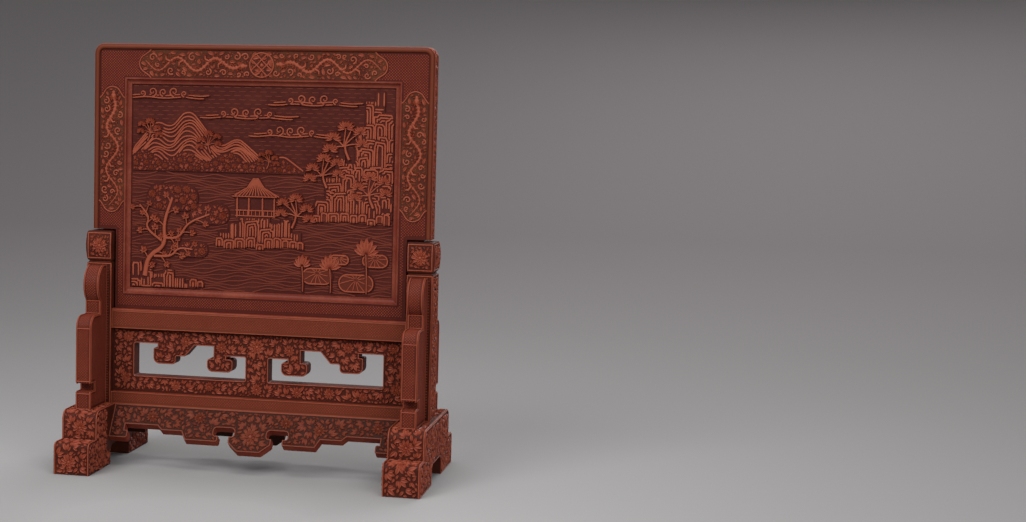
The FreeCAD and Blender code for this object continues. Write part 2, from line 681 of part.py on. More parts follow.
def bead_section(across):
    """Section of a front bead: a line at the frame, a hollow, and a line on the board.

    across turns a distance from the frame into the place where it lies, and the second value is the depth.
    """
    high, low = -panel_face_y, -board_face_y
    lip = low - BEAD_LIP
    inner = BEAD_WIDTH - BEAD_LINE
    sag_u = (BEAD_LINE + inner) / 2
    sag_v = (high + lip) / 2 + BEAD_COVE
    points = [Corner(0, low), Corner(0, high), Corner(BEAD_LINE, high), Bow(sag_u, sag_v), Corner(inner, lip),
              Corner(BEAD_WIDTH, lip), Corner(BEAD_WIDTH, low)]
    return [item._replace(u=across(item.u)) for item in points]


def mitred(bead, corner_a, corner_b, depth):
    """Cut a bead to the wedge between its outer corners and the mitres that run inwards from them."""
    (xa, za), (xb, zb) = corner_a, corner_b
    inward = Vector(-(zb - za), 0, xb - xa).normalize() * depth
    along = Vector(xb - xa, 0, zb - za).normalize() * depth
    wedge = [Corner(xa, za), Corner(xb, zb),
             Corner(xb + inward.x - along.x, zb + inward.z - along.z),
             Corner(xa + inward.x + along.x, za + inward.z + along.z)]
    return bead.common(prism(wedge, front_view(-PANEL_THICKNESS), Vector(0, PANEL_THICKNESS, 0)))


def front_beads():
    """The four front beads by side, mitred at the corners of the frame's opening."""
    span_x, span_z = Vector(2 * sight_x, 0, 0), Vector(0, 0, sight_high - sight_low)
    right = prism(bead_section(lambda u: sight_x - u), top_view(sight_low), span_z)
    low = prism(turned(bead_section(lambda u: sight_low + u)), side_view(-sight_x), span_x)
    high = prism(turned(bead_section(lambda u: sight_high - u)), side_view(-sight_x), span_x)
    low_left, low_right = (-sight_x, sight_low), (sight_x, sight_low)
    high_left, high_right = (-sight_x, sight_high), (sight_x, sight_high)
    right = mitred(right, low_right, high_right, BEAD_WIDTH)
    return {
        "bottom": mitred(low, low_left, low_right, BEAD_WIDTH),
        "right": right,
        "top": mitred(high, high_right, high_left, BEAD_WIDTH),
        "left": to_left(right),
    }


def rail_pegs():
    """Pegs through the right ends of both rails, driven from the back of the post under the spandrel."""
    x = post_inner_x + RAIL_PEG_INSET
    length = POST_DEPTH - PEG_END_WOOD
    return [peg((x, post_face_y, z), (0, -1, 0), length, PEG_DIAMETER)
            for z in ((seat_rail_base + SEAT_HEIGHT) / 2, (FOOT_HEIGHT + lower_rail_top) / 2)]


def foot_peg():
    """Peg through the right post's tenon, driven from the inner side of the foot."""
    z = FOOT_HEIGHT - POST_TENON_LENGTH / 2
    return peg((foot_inner_x, 0, z), (1, 0, 0), FOOT_WIDTH - PEG_END_WOOD, PEG_DIAMETER)


def spandrel_dowels():
    """Dowels of the front right spandrel: two into the post and one into the foot."""
    half = DOWEL_LENGTH / 2
    block_base = FOOT_HEIGHT + PLINTH_HEIGHT + LOW_NECK_HEIGHT
    heights = (block_base + DOWEL_INSET, block_base + BLOCK_HEIGHT - DOWEL_INSET)
    into_post = [peg((foot_centre_x, -post_face_y + half, z), (0, -1, 0), DOWEL_LENGTH, PEG_DIAMETER)
                 for z in heights]
    y = -post_face_y - SPANDREL_REACH / 2
    into_foot = peg((foot_centre_x, y, FOOT_HEIGHT - half), (0, 0, 1), DOWEL_LENGTH, PEG_DIAMETER)
    return into_post + [into_foot]


def stand_pieces():
    """All pieces of the stand by node name."""
    board, seat, low_rail, front_apron = openwork_board(), seat_rail(), lower_rail(), apron()
    rear_apron = to_rear(front_apron)
    dowels = spandrel_dowels()
    rear_dowels = [to_rear(dowel) for dowel in dowels]
    pegs = rail_pegs()
    foot_pin = foot_peg()

    right_post = post()
    right_foot = foot().cut([right_post, front_apron, rear_apron, foot_pin] + dowels + rear_dowels)
    seat = seat.cut([board])
    low_rail = low_rail.cut([board, front_apron, rear_apron])
    right_post = right_post.cut([seat, low_rail, board, foot_pin] + pegs + dowels + rear_dowels)
    left_pegs = [to_left(pin) for pin in pegs]
    seat = seat.cut(pegs + left_pegs)
    low_rail = low_rail.cut(pegs + left_pegs)
    front_spandrel = spandrel().cut(dowels)
    rear_spandrel = to_rear(front_spandrel)

    right_dowels = dowels + rear_dowels
    return {
        "left_foot": to_left(right_foot),
        "right_foot": right_foot,
        "left_post": to_left(right_post),
        "right_post": right_post,
        "front_left_spandrel": to_left(front_spandrel),
        "front_right_spandrel": front_spandrel,
        "rear_left_spandrel": to_left(rear_spandrel),
        "rear_right_spandrel": rear_spandrel,
        "seat_rail": seat,
        "lower_rail": low_rail,
        "openwork_board": board,
        "front_apron": front_apron,
        "rear_apron": rear_apron,
        "rail_pegs": Part.makeCompound(pegs + left_pegs),
        "foot_pegs": Part.makeCompound([foot_pin, to_left(foot_pin)]),
        "spandrel_dowels": Part.makeCompound(right_dowels + [to_left(dowel) for dowel in right_dowels]),
    }


def panel_pieces():
    """All pieces of the lift-out panel by node name."""
    blank = frame_blank()
    above = mitre_wedge()
    key = corner_key()
    keys = [key, to_left(key)]
    tenon = frame_tenon()
    pin = frame_peg()
    pins = [pin, to_left(pin)]

    sides = block((sight_x, -panel_face_y, SEAT_HEIGHT), (panel_side_x, panel_face_y, panel_top))
    middle = block((-sight_x, -panel_face_y, SEAT_HEIGHT), (sight_x, panel_face_y, sight_low))
    stile = blank.common(sides).cut(above).fuse(panel_tongue()).cut([tenon, key, pin])
    top_rail = blank.common(above).cut(keys)
    bottom_rail = blank.common(middle).fuse([tenon, to_left(tenon)]).cut(pins)
    face = face_board()
    pieces = {
        "frame_left_stile": to_left(stile),
        "frame_right_stile": stile,
        "frame_top_rail": top_rail,
        "frame_bottom_rail": bottom_rail,
        "frame_corner_keys": Part.makeCompound(keys),
        "frame_tenon_pegs": Part.makeCompound(pins),
        "core_board": core_board(),
        "picture_board": face.fuse(landforms()),
        "back_board": to_rear(face),
    }
    for side, bead in front_beads().items():
        pieces["front_bead_" + side] = bead
        pieces["rear_bead_" + side] = to_rear(bead)
    return pieces


def main():
    """Build every piece and write one file for each node."""
    os.makedirs("parts", exist_ok=True)
    pieces = stand_pieces()
    pieces.update(panel_pieces())
    for name, shape in pieces.items():
        shape = shape.removeSplitter()
        solids = shape.Solids
        result = solids[0] if len(solids) == 1 else Part.makeCompound(solids)
        result.exportStep(os.path.join("parts", name + ".step"))
        print(name, len(solids), round(result.Volume), result.isValid())


main()
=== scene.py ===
"""Looks of the carved lacquer table screen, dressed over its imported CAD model.

The CAD pieces stay as the cut ground, and the carving stands on them as closed relief meshes. Ornament is
laid out in millimetres on each face, and turned to metres when its mesh is built.
"""

from __future__ import annotations

import copy
import json
import logging
import math
import random
from dataclasses import dataclass, field, replace
from enum import Enum
from functools import partial
from typing import Any, Callable, Iterable, Sequence

import bpy
import numpy as np
from mathutils import Matrix, Vector

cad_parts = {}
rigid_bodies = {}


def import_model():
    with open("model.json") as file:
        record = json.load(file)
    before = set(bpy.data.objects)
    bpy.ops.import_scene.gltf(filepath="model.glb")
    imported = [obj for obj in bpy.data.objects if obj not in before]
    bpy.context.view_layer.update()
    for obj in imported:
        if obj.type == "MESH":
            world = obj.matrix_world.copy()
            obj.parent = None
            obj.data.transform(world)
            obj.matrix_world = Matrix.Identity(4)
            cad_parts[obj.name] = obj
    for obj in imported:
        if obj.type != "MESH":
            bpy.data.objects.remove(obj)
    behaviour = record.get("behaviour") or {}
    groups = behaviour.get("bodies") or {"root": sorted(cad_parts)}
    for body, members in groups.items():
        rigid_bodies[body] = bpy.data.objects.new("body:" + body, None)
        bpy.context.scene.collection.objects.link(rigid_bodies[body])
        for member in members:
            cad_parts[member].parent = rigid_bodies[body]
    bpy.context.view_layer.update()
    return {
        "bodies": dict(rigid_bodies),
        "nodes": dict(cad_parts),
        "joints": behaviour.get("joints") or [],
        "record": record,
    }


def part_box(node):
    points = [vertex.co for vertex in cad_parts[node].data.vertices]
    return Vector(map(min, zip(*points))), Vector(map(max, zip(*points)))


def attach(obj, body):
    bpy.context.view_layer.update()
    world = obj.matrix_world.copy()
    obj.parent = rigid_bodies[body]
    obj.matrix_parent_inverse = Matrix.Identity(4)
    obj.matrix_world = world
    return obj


LOG = logging.getLogger("table_screen")
PHOTO_WIDTH = 1026  # pixels
MM = 0.001
# The carved finishes paint shade in the cuts and highlight on the crests from this attribute.
RELIEF = "relief"  # point attribute: 0 in the cut ground, 1 on the highest edge
SINK = 0.25  # mm that a relief is set into the ground under it
CELL = 0.5  # mm, grid on which the carving is laid out
SEED = 1736
APRON_LEAN = math.radians(35.0)

Array = np.ndarray
Point = Sequence[float]
Rows = Sequence[Point]
Socket = bpy.types.NodeSocket
Material = bpy.types.Material
UP = np.array((0.0, 0.0, 1.0))
RIGHT = np.array((1.0, 0.0, 0.0))
BACK = np.array((0.0, 1.0, 0.0))


class Slot(Enum):
    """Material slots of the record, named for each carved piece but not given to it."""

    CARVED = "carved_red_lacquer"
    SMOOTH = "smooth_red_lacquer"
    GILT = "gilt_lacquer"


class Body(Enum):
    """Bodies of the part that a piece can ride on."""

    STAND = "stand"
    SCREEN = "screen"


class Signed(Enum):
    """Choice between two places that lie on either side of the middle."""

    @property
    def word(self) -> str:
        """Its name as it stands in node names."""
        return self.name.lower()


class Side(Signed):
    """Left or right, with its sign along X."""

    LEFT = -1
    RIGHT = 1


class Place(Signed):
    """Before or behind the panel, with its sign along Y."""

    FRONT = -1
    REAR = 1


def linear(code: str) -> tuple[float, float, float, float]:
    """Turn an sRGB hex colour to linear light.

    Args:
        code: colour such as "#8a4a3c".

    Returns:
        Linear red, green, blue and an alpha of 1.
    """
    channels = [int(code[i:i + 2], 16) / 255 for i in (1, 3, 5)]
    light = [c / 12.92 if c <= 0.04045 else ((c + 0.055) / 1.055) ** 2.4 for c in channels]
    return light[0], light[1], light[2], 1.0


def per_mm(size: float) -> float:
    """Texture scale at which a pattern repeats every so many millimetres."""
    return 1.0 / (size * MM)


def add_node(tree: bpy.types.NodeTree, kind: str, out: str | int | None, links: dict[Any, Any] | None = None,
             **sets: Any) -> Socket | None:
    """Add a node with its settings, values and links.

    Args:
        tree: node tree.
        kind: Blender's name of the node, after ShaderNode.
        out: the output that is wanted, None at the end of the tree.
        links: values or outputs, by the name or number of the input that takes them.
        sets: settings by name.

    Returns:
        The output.
    """
    node = tree.nodes.new("ShaderNode" + kind)
    for name, value in sets.items():
        setattr(node, name, value)
    for key, value in (links or {}).items():
        if isinstance(value, Socket):
            tree.links.new(value, node.inputs[key])
        else:
            node.inputs[key].default_value = value
    return None if out is None else node.outputs[out]


def start_material(name: str) -> tuple[Material, Callable[..., Socket]]:
    """Start a material that has no nodes yet.

    Args:
        name: its name.

    Returns:
        The material, and the function that adds a node to it.
    """
    material = bpy.data.materials.new(name)
    material.use_nodes = True
    material.node_tree.nodes.clear()
    return material, partial(add_node, material.node_tree)


@dataclass(frozen=True)
class CarvedLacquer:
    """Cinnabar lacquer cut with a knife: painted shade darkens the cuts, and a painted highlight, mottled
    like rubbed wear, brightens the crests.
    """

    name: str
    recess: str
    body: str
    crest: str
    roughness: float = 0.5
    coat: float = 0.02
    specular: float = 0.15
    cloud_mm: float = 26.0  # slow change of tone over the surface
    cut_mm: float = 1.1  # fine tool marks, drawn coarser than real ones so that they show

    GLOSS = (0.3, 0.7, 0.06, 0.1)
    GRAIN = (0.35, 0.12)

    def material(self) -> Material:
        """Build the finish, which reads the height of the carving from the relief attribute.

        Returns:
            The material.
        """
        material, add = start_material(self.name)
        coords = add("TexCoord", "Object")
        relief = add("Attribute", "Fac", attribute_name=RELIEF)
        tone = add("TexNoise", "Fac", {
            "Vector": coords, "Scale": per_mm(self.cloud_mm), "Detail": 4.0, "Roughness": 0.6})
        cuts = add("TexNoise", "Fac", {"Vector": coords, "Scale": per_mm(self.cut_mm), "Detail": 3.0})
        uneven = add("Math", 0, {0: tone, 1: 0.55, 2: relief}, operation="MULTIPLY_ADD")
        # Painted light: as the relief rises, the recess colour (painted shade in the cuts) gives way to the
        # body colour, and the crests turn to the paler crest colour, a painted highlight mottled by the slow
        # tone like uneven wear.
        rise = add("MapRange", "Result", {"Value": relief, "From Max": 0.7}, interpolation_type="SMOOTHSTEP")
        wear_and_highlight = add("MapRange", "Result", {"Value": uneven, "From Min": 0.75, "From Max": 1.45})
        low = add("Mix", 2, {0: rise, 6: linear(self.recess), 7: linear(self.body)}, data_type="RGBA")
        colour = add("Mix", 2, {0: wear_and_highlight, 6: low, 7: linear(self.crest)}, data_type="RGBA")
        lay_coat(add, self, colour, tone, cuts)
        return material


@dataclass(frozen=True)
class GroundLacquer:
    """Lacquer ground: the carved faces painted dark as the shade between their carving, the other faces
    smoother and redder.
    """

    name: str
    cut: str
    side: str
    patch: str
    facing: Point | None = None  # line along which the carved faces look, None if all are cut
    roughness: float = 0.6
    coat: float = 0.0
    cloud_mm: float = 30.0
    fleck_mm: float = 2.2  # small uneven dark and light flecks of handling
    specular: float = 0.12

    GLOSS = (0.4, 1.0, 0.08, 0.12)
    GRAIN = (0.25, 0.1)

    def material(self) -> Material:
        """Build the finish.

        Returns:
            Its material.
        """
        material, add = start_material(self.name)
        coords = add("TexCoord", "Object")
        tone = add("TexNoise", "Fac", {
            "Vector": coords, "Scale": per_mm(self.cloud_mm), "Detail": 5.0, "Roughness": 0.62})
        fleck = add("TexNoise", "Fac", {"Vector": coords, "Scale": per_mm(self.fleck_mm), "Detail": 4.0})
        worn = add("Math", 0, {0: fleck, 1: 0.4, 2: tone}, operation="MULTIPLY_ADD")
        patch = add("MapRange", "Result", {"Value": worn, "From Min": 0.58, "From Max": 0.92},
                    interpolation_type="SMOOTHSTEP")
        colour = add("Mix", 2, {0: patch, 6: linear(self.side), 7: linear(self.patch)}, data_type="RGBA")
        # Painted shade: faces that look along the facing line take the dark cut colour, the shade of the deep
        # ground under their carving.
        if self.facing:
            normal = add("TexCoord", "Normal")
            turned = add("VectorMath", "Value", {0: normal, 1: self.facing}, operation="DOT_PRODUCT")
            size = add("Math", 0, {0: turned}, operation="ABSOLUTE")
            mask = add("MapRange", "Result", {"Value": size, "From Min": 0.9, "From Max": 0.97})
            colour = add("Mix", 2, {0: mask, 6: colour, 7: linear(self.cut)}, data_type="RGBA")
        lay_coat(add, self, colour, worn, fleck)
        return material


def lay_coat(add: Callable[..., Socket], finish: CarvedLacquer | GroundLacquer, colour: Socket, wear: Socket,
             grain: Socket) -> None:
    """Join a lacquer's colour, uneven gloss and fine grain in its shader.

    Args:
        add: adds a node to its material.
        finish: the lacquer.
        colour: its colour.
        wear: what its gloss follows.
        grain: height of its grain.
    """
    least, most, glossier, duller = finish.GLOSS
    strength, depth = finish.GRAIN
    gloss = add("MapRange", "Result", {
        "Value": wear, "From Min": least, "From Max": most,
        "To Min": finish.roughness - glossier, "To Max": finish.roughness + duller})
    bump = add("Bump", "Normal", {"Height": grain, "Strength": strength, "Distance": depth * MM})
    shader = add("BsdfPrincipled", "BSDF", {
        "Base Color": colour, "Roughness": gloss, "Normal": bump, "IOR": 1.5,
        "Specular IOR Level": finish.specular, "Coat Weight": finish.coat, "Coat Roughness": 0.3})
    add("OutputMaterial", None, {"Surface": shader})


@dataclass(frozen=True)
class StudioPaper:
    """Matt seamless paper with a painted pool of light: pale under the object and falling to grey behind it.
    """

    name: str = "matt_seamless_paper"
    near: str = "#a6a5a5"
    far: str = "#696566"
    near_m: float = 0.15
    far_m: float = 2.7
    before_m: float = 0.35  # the palest spot lies this far before the object

    def material(self) -> Material:
        """Build the finish.

        Returns:
            Its material.
        """
        material, add = start_material(self.name)
        coords = add("TexCoord", "Object")
        # Painted light: the colour falls from the pale near colour to the grey far colour with distance from
        # the palest spot.
        away = add("VectorMath", "Value", {0: coords, 1: (0.0, -self.before_m, 0.0)}, operation="DISTANCE")
        part = add("MapRange", "Result", {"Value": away, "From Min": self.near_m, "From Max": self.far_m})
        fall = add("Math", 0, {0: part, 1: 0.6}, operation="POWER")
        colour = add("Mix", 2, {0: fall, 6: linear(self.near), 7: linear(self.far)}, data_type="RGBA")
        looks = {"Base Color": colour, "Roughness": 0.9, "Specular IOR Level": 0.1}
        shader = add("BsdfPrincipled", "BSDF", looks)
        add("OutputMaterial", None, {"Surface": shader})
        return material


def slant(place: Place) -> tuple[float, float, float]:
    """Direction that the carved face of an apron looks in."""
    return 0.0, place.value * math.cos(APRON_LEAN), math.sin(APRON_LEAN)


FACES = (0.0, 1.0, 0.0)  # line along which the front and the back of a board look


class Finish(Enum):
    """The finishes of the screen, each under a line that says what it gives the eye."""

    # Painted shade in the cuts, warm red leaves, and paler crests: painted highlight mottled like rubbed wear
    CARVED = CarvedLacquer("carved_cinnabar_lacquer", "#3a1a10", "#7c3020", "#a1533a")
    # The same in the shade under the rails
    SHADED = CarvedLacquer("shaded_cinnabar_lacquer", "#33180f", "#67291c", "#82442f")
    # Quiet dull lines that stay behind the land
    WATER = CarvedLacquer("carved_water_lacquer", "#3e170f", "#5e251a", "#743627")
    # An even brown-red roll without cuts, painted darker at its foot and paler along its top, as shade and
    # highlight
    RIM = CarvedLacquer("rubbed_and_highlit_cinnabar_rim", "#481a0e", "#5c2413", "#6e3520", specular=0.16, coat=0.0)
    # Near-black marks with a slight gloss
    INLAY = CarvedLacquer("dark_lacquer_inlay", "#14110d", "#1f1a14", "#33281c", roughness=0.45, coat=0.06)
    # Brown lacquer with large patches of worn gold
    GILT = GroundLacquer("worn_gilt_lacquer", "#74482c", "#74482c", "#a87332", roughness=0.45, coat=0.08,
                         cloud_mm=70.0, fleck_mm=4.0)
    # The deep ground between leaves, painted nearly brown as its shade
    CUT = GroundLacquer("cut_cinnabar_lacquer", "#3d190f", "#3f1a10", "#532418")
    # The shallower ground under fine diaper, with lighter painted shade and so redder
    DIAPERED = GroundLacquer("diapered_cinnabar_lacquer", "#512016", "#532117", "#652d1f")
    # Rails, bright and nearly smooth, their diapered faces a little darker as painted shade
    RAIL = GroundLacquer("polished_rail_lacquer", "#66301f", "#7a3322", "#8a432f", FACES, roughness=0.5)
    # Faces painted dark as the shade of their carving, with redder cut edges round the openings
    PIERCED = GroundLacquer("pierced_board_lacquer", "#441b11", "#4e1e14", "#5e281b", FACES)
    # Slanted faces painted dark as the shade of their carving, with bright red edges
    FRONT_APRON = GroundLacquer("front_apron_lacquer", "#38180e", "#80301e", "#91422c", slant(Place.FRONT))
    REAR_APRON = GroundLacquer("rear_apron_lacquer", "#38180e", "#80301e", "#91422c", slant(Place.REAR))
    # Faces painted dark as the shade of their carving, and plain red edges
    FRAME = GroundLacquer("frame_lacquer", "#4e1d16", "#5a2418", "#6e3021", FACES)
    # A thin line of painted highlight round the picture, on a slightly glossier lacquer
    MOULDING = GroundLacquer("polished_moulding_lacquer", "#6e2b1d", "#6e2b1d", "#803d2b", roughness=0.5,
                             specular=0.2)
    # Pale wood inside the joints
    WOOD = GroundLacquer("bare_camphor_wood", "#8a6a48", "#8a6a48", "#a5835c", cloud_mm=12.0, fleck_mm=1.5)
    # The dark red ground of the landscape
    PICTURE = GroundLacquer("picture_ground_lacquer", "#471a15", "#471a15", "#52221a")
    # A browner layer that shows under the dragons
    OCHRE = GroundLacquer("ochre_ground_lacquer", "#4b2015", "#4b2015", "#5a321e")


def unit(vectors: Array) -> Array:
    """Scale vectors to a length of 1."""
    return vectors / np.maximum(np.linalg.norm(vectors, axis=-1, keepdims=True), 1e-9)


def heading(angle: float) -> Array:
    """Unit vector at an angle."""
    return np.array((math.cos(angle), math.sin(angle)))


def rectangle(u0: float, v0: float, u1: float, v1: float) -> Array:
    """Outline of a rectangle."""
    return np.array([(u0, v0), (u1, v0), (u1, v1), (u0, v1)], float)


def nearest(points: Array, point: Point) -> int:
    """Number of the point that lies closest to a given one."""
    return int(np.argmin(np.linalg.norm(points - np.asarray(point), axis=1)))


def stations(path: Array) -> Array:
    """Distance of each point along a path."""
    return np.concatenate([[0.0], np.cumsum(np.linalg.norm(np.diff(path, axis=0), axis=1))])


def divided(path: Array, step: float, whole: Callable[[float], int]) -> Array:
    """Add points along the runs of a path.

    Args:
        path: its corners.
        step: distance between points.
        whole: how the number of steps in a run is rounded.

    Returns:
        The path with the points added.
    """
    runs = []
    for start, end in zip(path[:-1], path[1:]):
        count = max(1, whole(np.linalg.norm(end - start) / step))
        runs.append(start + (end - start) * np.linspace(0, 1, count, endpoint=False)[:, None])
    return np.vstack(runs + [path[-1:]])


def divided_loop(loop: Array, step: float) -> Array:
    """Add points along the sides of a closed outline, so that it can follow a bowed face."""
    return divided(np.vstack([loop, loop[:1]]), step, int)[:-1]


def loop_area(loop: Array) -> float:
    """Signed area of a closed outline."""
    x, y = loop[:, 0], loop[:, 1]
    return float(np.sum(x * np.roll(y, -1) - np.roll(x, -1) * y) / 2)


def ways(loop: Array) -> tuple[Array, Array]:
    """Directions after and before each corner of a closed outline."""
    return unit(np.roll(loop, -1, axis=0) - loop), unit(loop - np.roll(loop, 1, axis=0))


def straighten(loop: Array) -> Array:
    """Leave out the points of an outline that lie on a straight run."""
    ahead, behind = ways(loop)
    return loop[np.abs(ahead[:, 0] * behind[:, 1] - ahead[:, 1] * behind[:, 0]) > 1e-3]


def mitre(ahead: Array, behind: Array, least: float = 0.6) -> Array:
    """Offset of each mitred corner for a line 1 to the left, which least holds short at very sharp ones."""
    left_a, left_b = (np.stack([-way[:, 1], way[:, 0]], axis=-1) for way in (ahead, behind))
    return (left_a + left_b) / np.maximum(1 + np.sum(left_a * left_b, axis=1, keepdims=True), least)


def inset(loop: Array, distance: float) -> Array:
    """Move a closed outline to its left, which is into the face."""
    return loop + mitre(*ways(loop)) * distance


def crossings(starts: Array, ends: Array, v: float) -> Array:
    """Find where edges cross a level.

    Args:
        starts: start of each edge.
        ends: end of each edge.
        v: the level.

    Returns:
        The crossings along u, from left to right.
    """
    hit = (starts[:, 1] > v) != (ends[:, 1] > v)
    a, b = starts[hit], ends[hit]
    return np.sort(a[:, 0] + (v - a[:, 1]) / (b[:, 1] - a[:, 1]) * (b[:, 0] - a[:, 0]))


def encloses(loop: Array, point: Point) -> bool:
    """Whether a point lies inside an outline."""
    cuts = crossings(loop, np.roll(loop, -1, axis=0), point[1])
    return int((cuts > point[0]).sum()) % 2 == 1


def rounded(path: Array | Rows, times: int = 2) -> Array:
    """Cut the corners of an open path so that it bends smoothly.

    Args:
        path: its points.
        times: how often its corners are cut.

    Returns:
        The smoother path.
    """
    path = np.asarray(path, float)
    for _ in range(times):
        after = np.roll(path, -1, axis=0)
        cut = np.stack([path * 0.75 + after * 0.25, path * 0.25 + after * 0.75], axis=1)
        path = np.vstack([path[:1], cut[:-1].reshape(-1, 2), path[-1:]])
    return path


@dataclass(frozen=True)
class Plane:
    """Flat face to carve on: u and v lie in it, n points out of it."""

    origin: Array
    u: Array
    v: Array
    n: Array

    @classmethod
    def facing(cls, normal: Point, offset: float) -> Plane:
        """Plane that looks along a normal, with u level and v uphill.

        Args:
            normal: direction out of the face.
            offset: distance of the face from the origin along the normal, in mm.

        Returns:
            The plane.
        """
        n = unit(np.asarray(normal, float))
        level = np.cross(UP, n)
        u = unit(level) if np.linalg.norm(level) > 1e-6 else RIGHT
        return cls(n * offset, u, np.cross(n, u), n)

    def place(self, points: Array) -> Array:
        """Turn (u, v, height) into x, y, z."""
        return self.origin + points[..., :1] * self.u + points[..., 1:2] * self.v + points[..., 2:] * self.n


@dataclass(frozen=True)
class Rolled:
    """Face that follows a profile: v runs along the profile, u straight across it."""

    profile: Array
    across: Array

    @classmethod
    def along(cls, points: Array, across: Array) -> Rolled:
        """Rolled face over the corners of a profile in mm, which is divided into steps of up to 1 mm."""
        return cls(divided(points, 1.0, math.ceil), np.asarray(across, float))

    @classmethod
    def over(cls, way: Array, x: float) -> Rolled:
        """Rolled face over a way (y, z), with u to the right from an x."""
        return cls.along(np.column_stack([np.full(len(way), x), way]), RIGHT)

    @property
    def stations(self) -> Array:
        """Distance of each point along the profile."""
        return stations(self.profile)

    @property
    def length(self) -> float:
        """Length of the profile."""
        return float(self.stations[-1])

    def station_of(self, point: Point) -> float:
        """Distance along the profile of the point that is nearest to a given one."""
        return float(self.stations[nearest(self.profile, point)])

    def place(self, points: Array) -> Array:
        """Set points on the face.

        Args:
            points: u, v and height of each.

        Returns:
            Their x, y, z.
        """
        normals = unit(np.cross(self.across, np.gradient(self.profile, axis=0)))
        v = np.clip(points[..., 1], 0, self.length)
        foot, lift = (np.stack([np.interp(v, self.stations, rows[:, k]) for k in range(3)], axis=-1)
                      for rows in (self.profile, normals))
        return foot + points[..., :1] * self.across + points[..., 2:] * unit(lift)


@dataclass(frozen=True)
class Motif:
    """Carved shape of unit size, modelled once and copied."""

    points: Array
    faces: tuple[tuple[int, ...], ...]
    shade: Array


class MotifBench:
    """Motifs of size 1, modelled once with Blender's own tools, and a seeded source of chance."""

    LEAF_WIDTH = 0.46  # of its length
    LEAF_BENDS = (-0.22, -0.08, 0.08, 0.22)
    FLORETS = ((4, 0.34), (8, 0.2), (6, 0.26))

    def __init__(self) -> None:
        """Model every motif once."""
        self.rng = random.Random(SEED)
        self.leaves = [self.leaf(bend) for bend in self.LEAF_BENDS]
        self.stud = self.model_stud()
        self.boss = self.model_boss()
        self.florets = [self.model_floret(lobes, depth) for lobes, depth in self.FLORETS]

    @staticmethod
    def start_edit() -> None:
        """Enter edit mode on the new primitive, all of it selected."""
        bpy.ops.object.mode_set(mode="EDIT")
        bpy.ops.mesh.select_all(action="SELECT")

    @staticmethod
    def take(low: float = 0.0, rise: float = 1.0, power: float = 1.0) -> Motif:
        """Read the active object's mesh and clear it away.

        Args:
            low: relief shade at the ground.
            rise: how much lighter the top is.
            power: how fast the shade rises with height.

        Returns:
            The motif.
        """
        bpy.ops.object.mode_set(mode="OBJECT")
        obj = bpy.context.object
        mesh = obj.data
        points = np.array([v.co for v in mesh.vertices], float)
        faces = tuple(tuple(p.vertices) for p in mesh.polygons)
        shade = low + rise * np.clip(points[:, 2] / max(points[:, 2].max(), 1e-6), 0, 1) ** power
        bpy.data.objects.remove(obj)
        bpy.data.meshes.remove(mesh)
        return Motif(points, faces, shade)

    def leaf(self, bend: float) -> Motif:
        """Pointed leaf along +x with a grooved vein.

        Args:
            bend: how far its tip turns to the side, as a part of its length.

        Returns:
            The motif.
        """
        bpy.ops.mesh.primitive_grid_add(x_subdivisions=6, y_subdivisions=4, size=1.0)
        for vertex in bpy.context.object.data.vertices:
            t, s = vertex.co.x + 0.5, vertex.co.y * 2
            half = max(0.02, math.sin(math.pi * min(1.0, t ** 0.8)) ** 0.9) * self.LEAF_WIDTH / 2
            rim = abs(s) > 0.9 or t < 0.01 or t > 0.99
            crest = 1.0 if abs(s) > 0.2 else 0.45
            across = math.copysign(abs(s) ** 0.6, s)
            height = -SINK if rim else crest * math.sin(math.pi * t) ** 0.4
            vertex.co = (t, across * half + bend * (t * t - 0.35 * t), height)
        self.start_edit()
        bpy.ops.mesh.select_all(action="DESELECT")
        bpy.ops.mesh.select_mode(type="EDGE")
        bpy.ops.mesh.select_non_manifold()
        bpy.ops.mesh.edge_face_add()
        bpy.ops.mesh.select_all(action="SELECT")
        bpy.ops.mesh.normals_make_consistent(inside=False)
        return self.take(0.25, 0.75)

    def model_stud(self) -> Motif:
        """Small square stud with a narrowed top.

        Returns:
            The motif.
        """
        bpy.ops.mesh.primitive_cube_add(size=1.0)
        for vertex in bpy.context.object.data.vertices:
            part, height = (0.55, 1.0) if vertex.co.z > 0 else (1.0, -SINK)
            vertex.co = (vertex.co.x * part, vertex.co.y * part, height)
        return self.take(0.15, 0.48)

    def model_boss(self) -> Motif:
        """Low round boss.

        Returns:
            The motif.
        """
        bpy.ops.mesh.primitive_uv_sphere_add(segments=10, ring_count=6, radius=0.5)
        self.start_edit()
        bpy.ops.mesh.bisect(plane_co=(0, 0, -0.1), plane_no=(0, 0, 1), use_fill=True, clear_inner=True)
        bpy.ops.transform.resize(value=(1.0, 1.0, 2.0))
        return self.take(power=0.6)

    def model_floret(self, lobes: int, depth: float) -> Motif:
        """Lobed rosette with a sunk middle.

        Args:
            lobes: number of lobes.
            depth: how far the rim comes in between the lobes, as a part of the radius.

        Returns:
            The motif.
        """
        bpy.ops.mesh.primitive_circle_add(vertices=24, radius=0.5, fill_type="NGON")
        for vertex in bpy.context.object.data.vertices:
            angle = math.atan2(vertex.co.y, vertex.co.x)
            inward = 1 - depth * abs(math.sin(lobes * angle / 2)) ** 1.6
            vertex.co = (vertex.co.x * inward, vertex.co.y * inward, -SINK)
        self.start_edit()
        bpy.ops.mesh.extrude_region_move(TRANSFORM_OT_translate={"value": (0, 0, 1 + SINK)})
        bpy.ops.transform.resize(value=(0.86, 0.86, 1.0))
        bpy.ops.mesh.inset(thickness=0.13, depth=0.0)
        bpy.ops.mesh.inset(thickness=0.03, depth=-0.55)
        bpy.ops.mesh.select_all(action="SELECT")
        bpy.ops.mesh.normals_make_consistent(inside=False)
        return self.take()


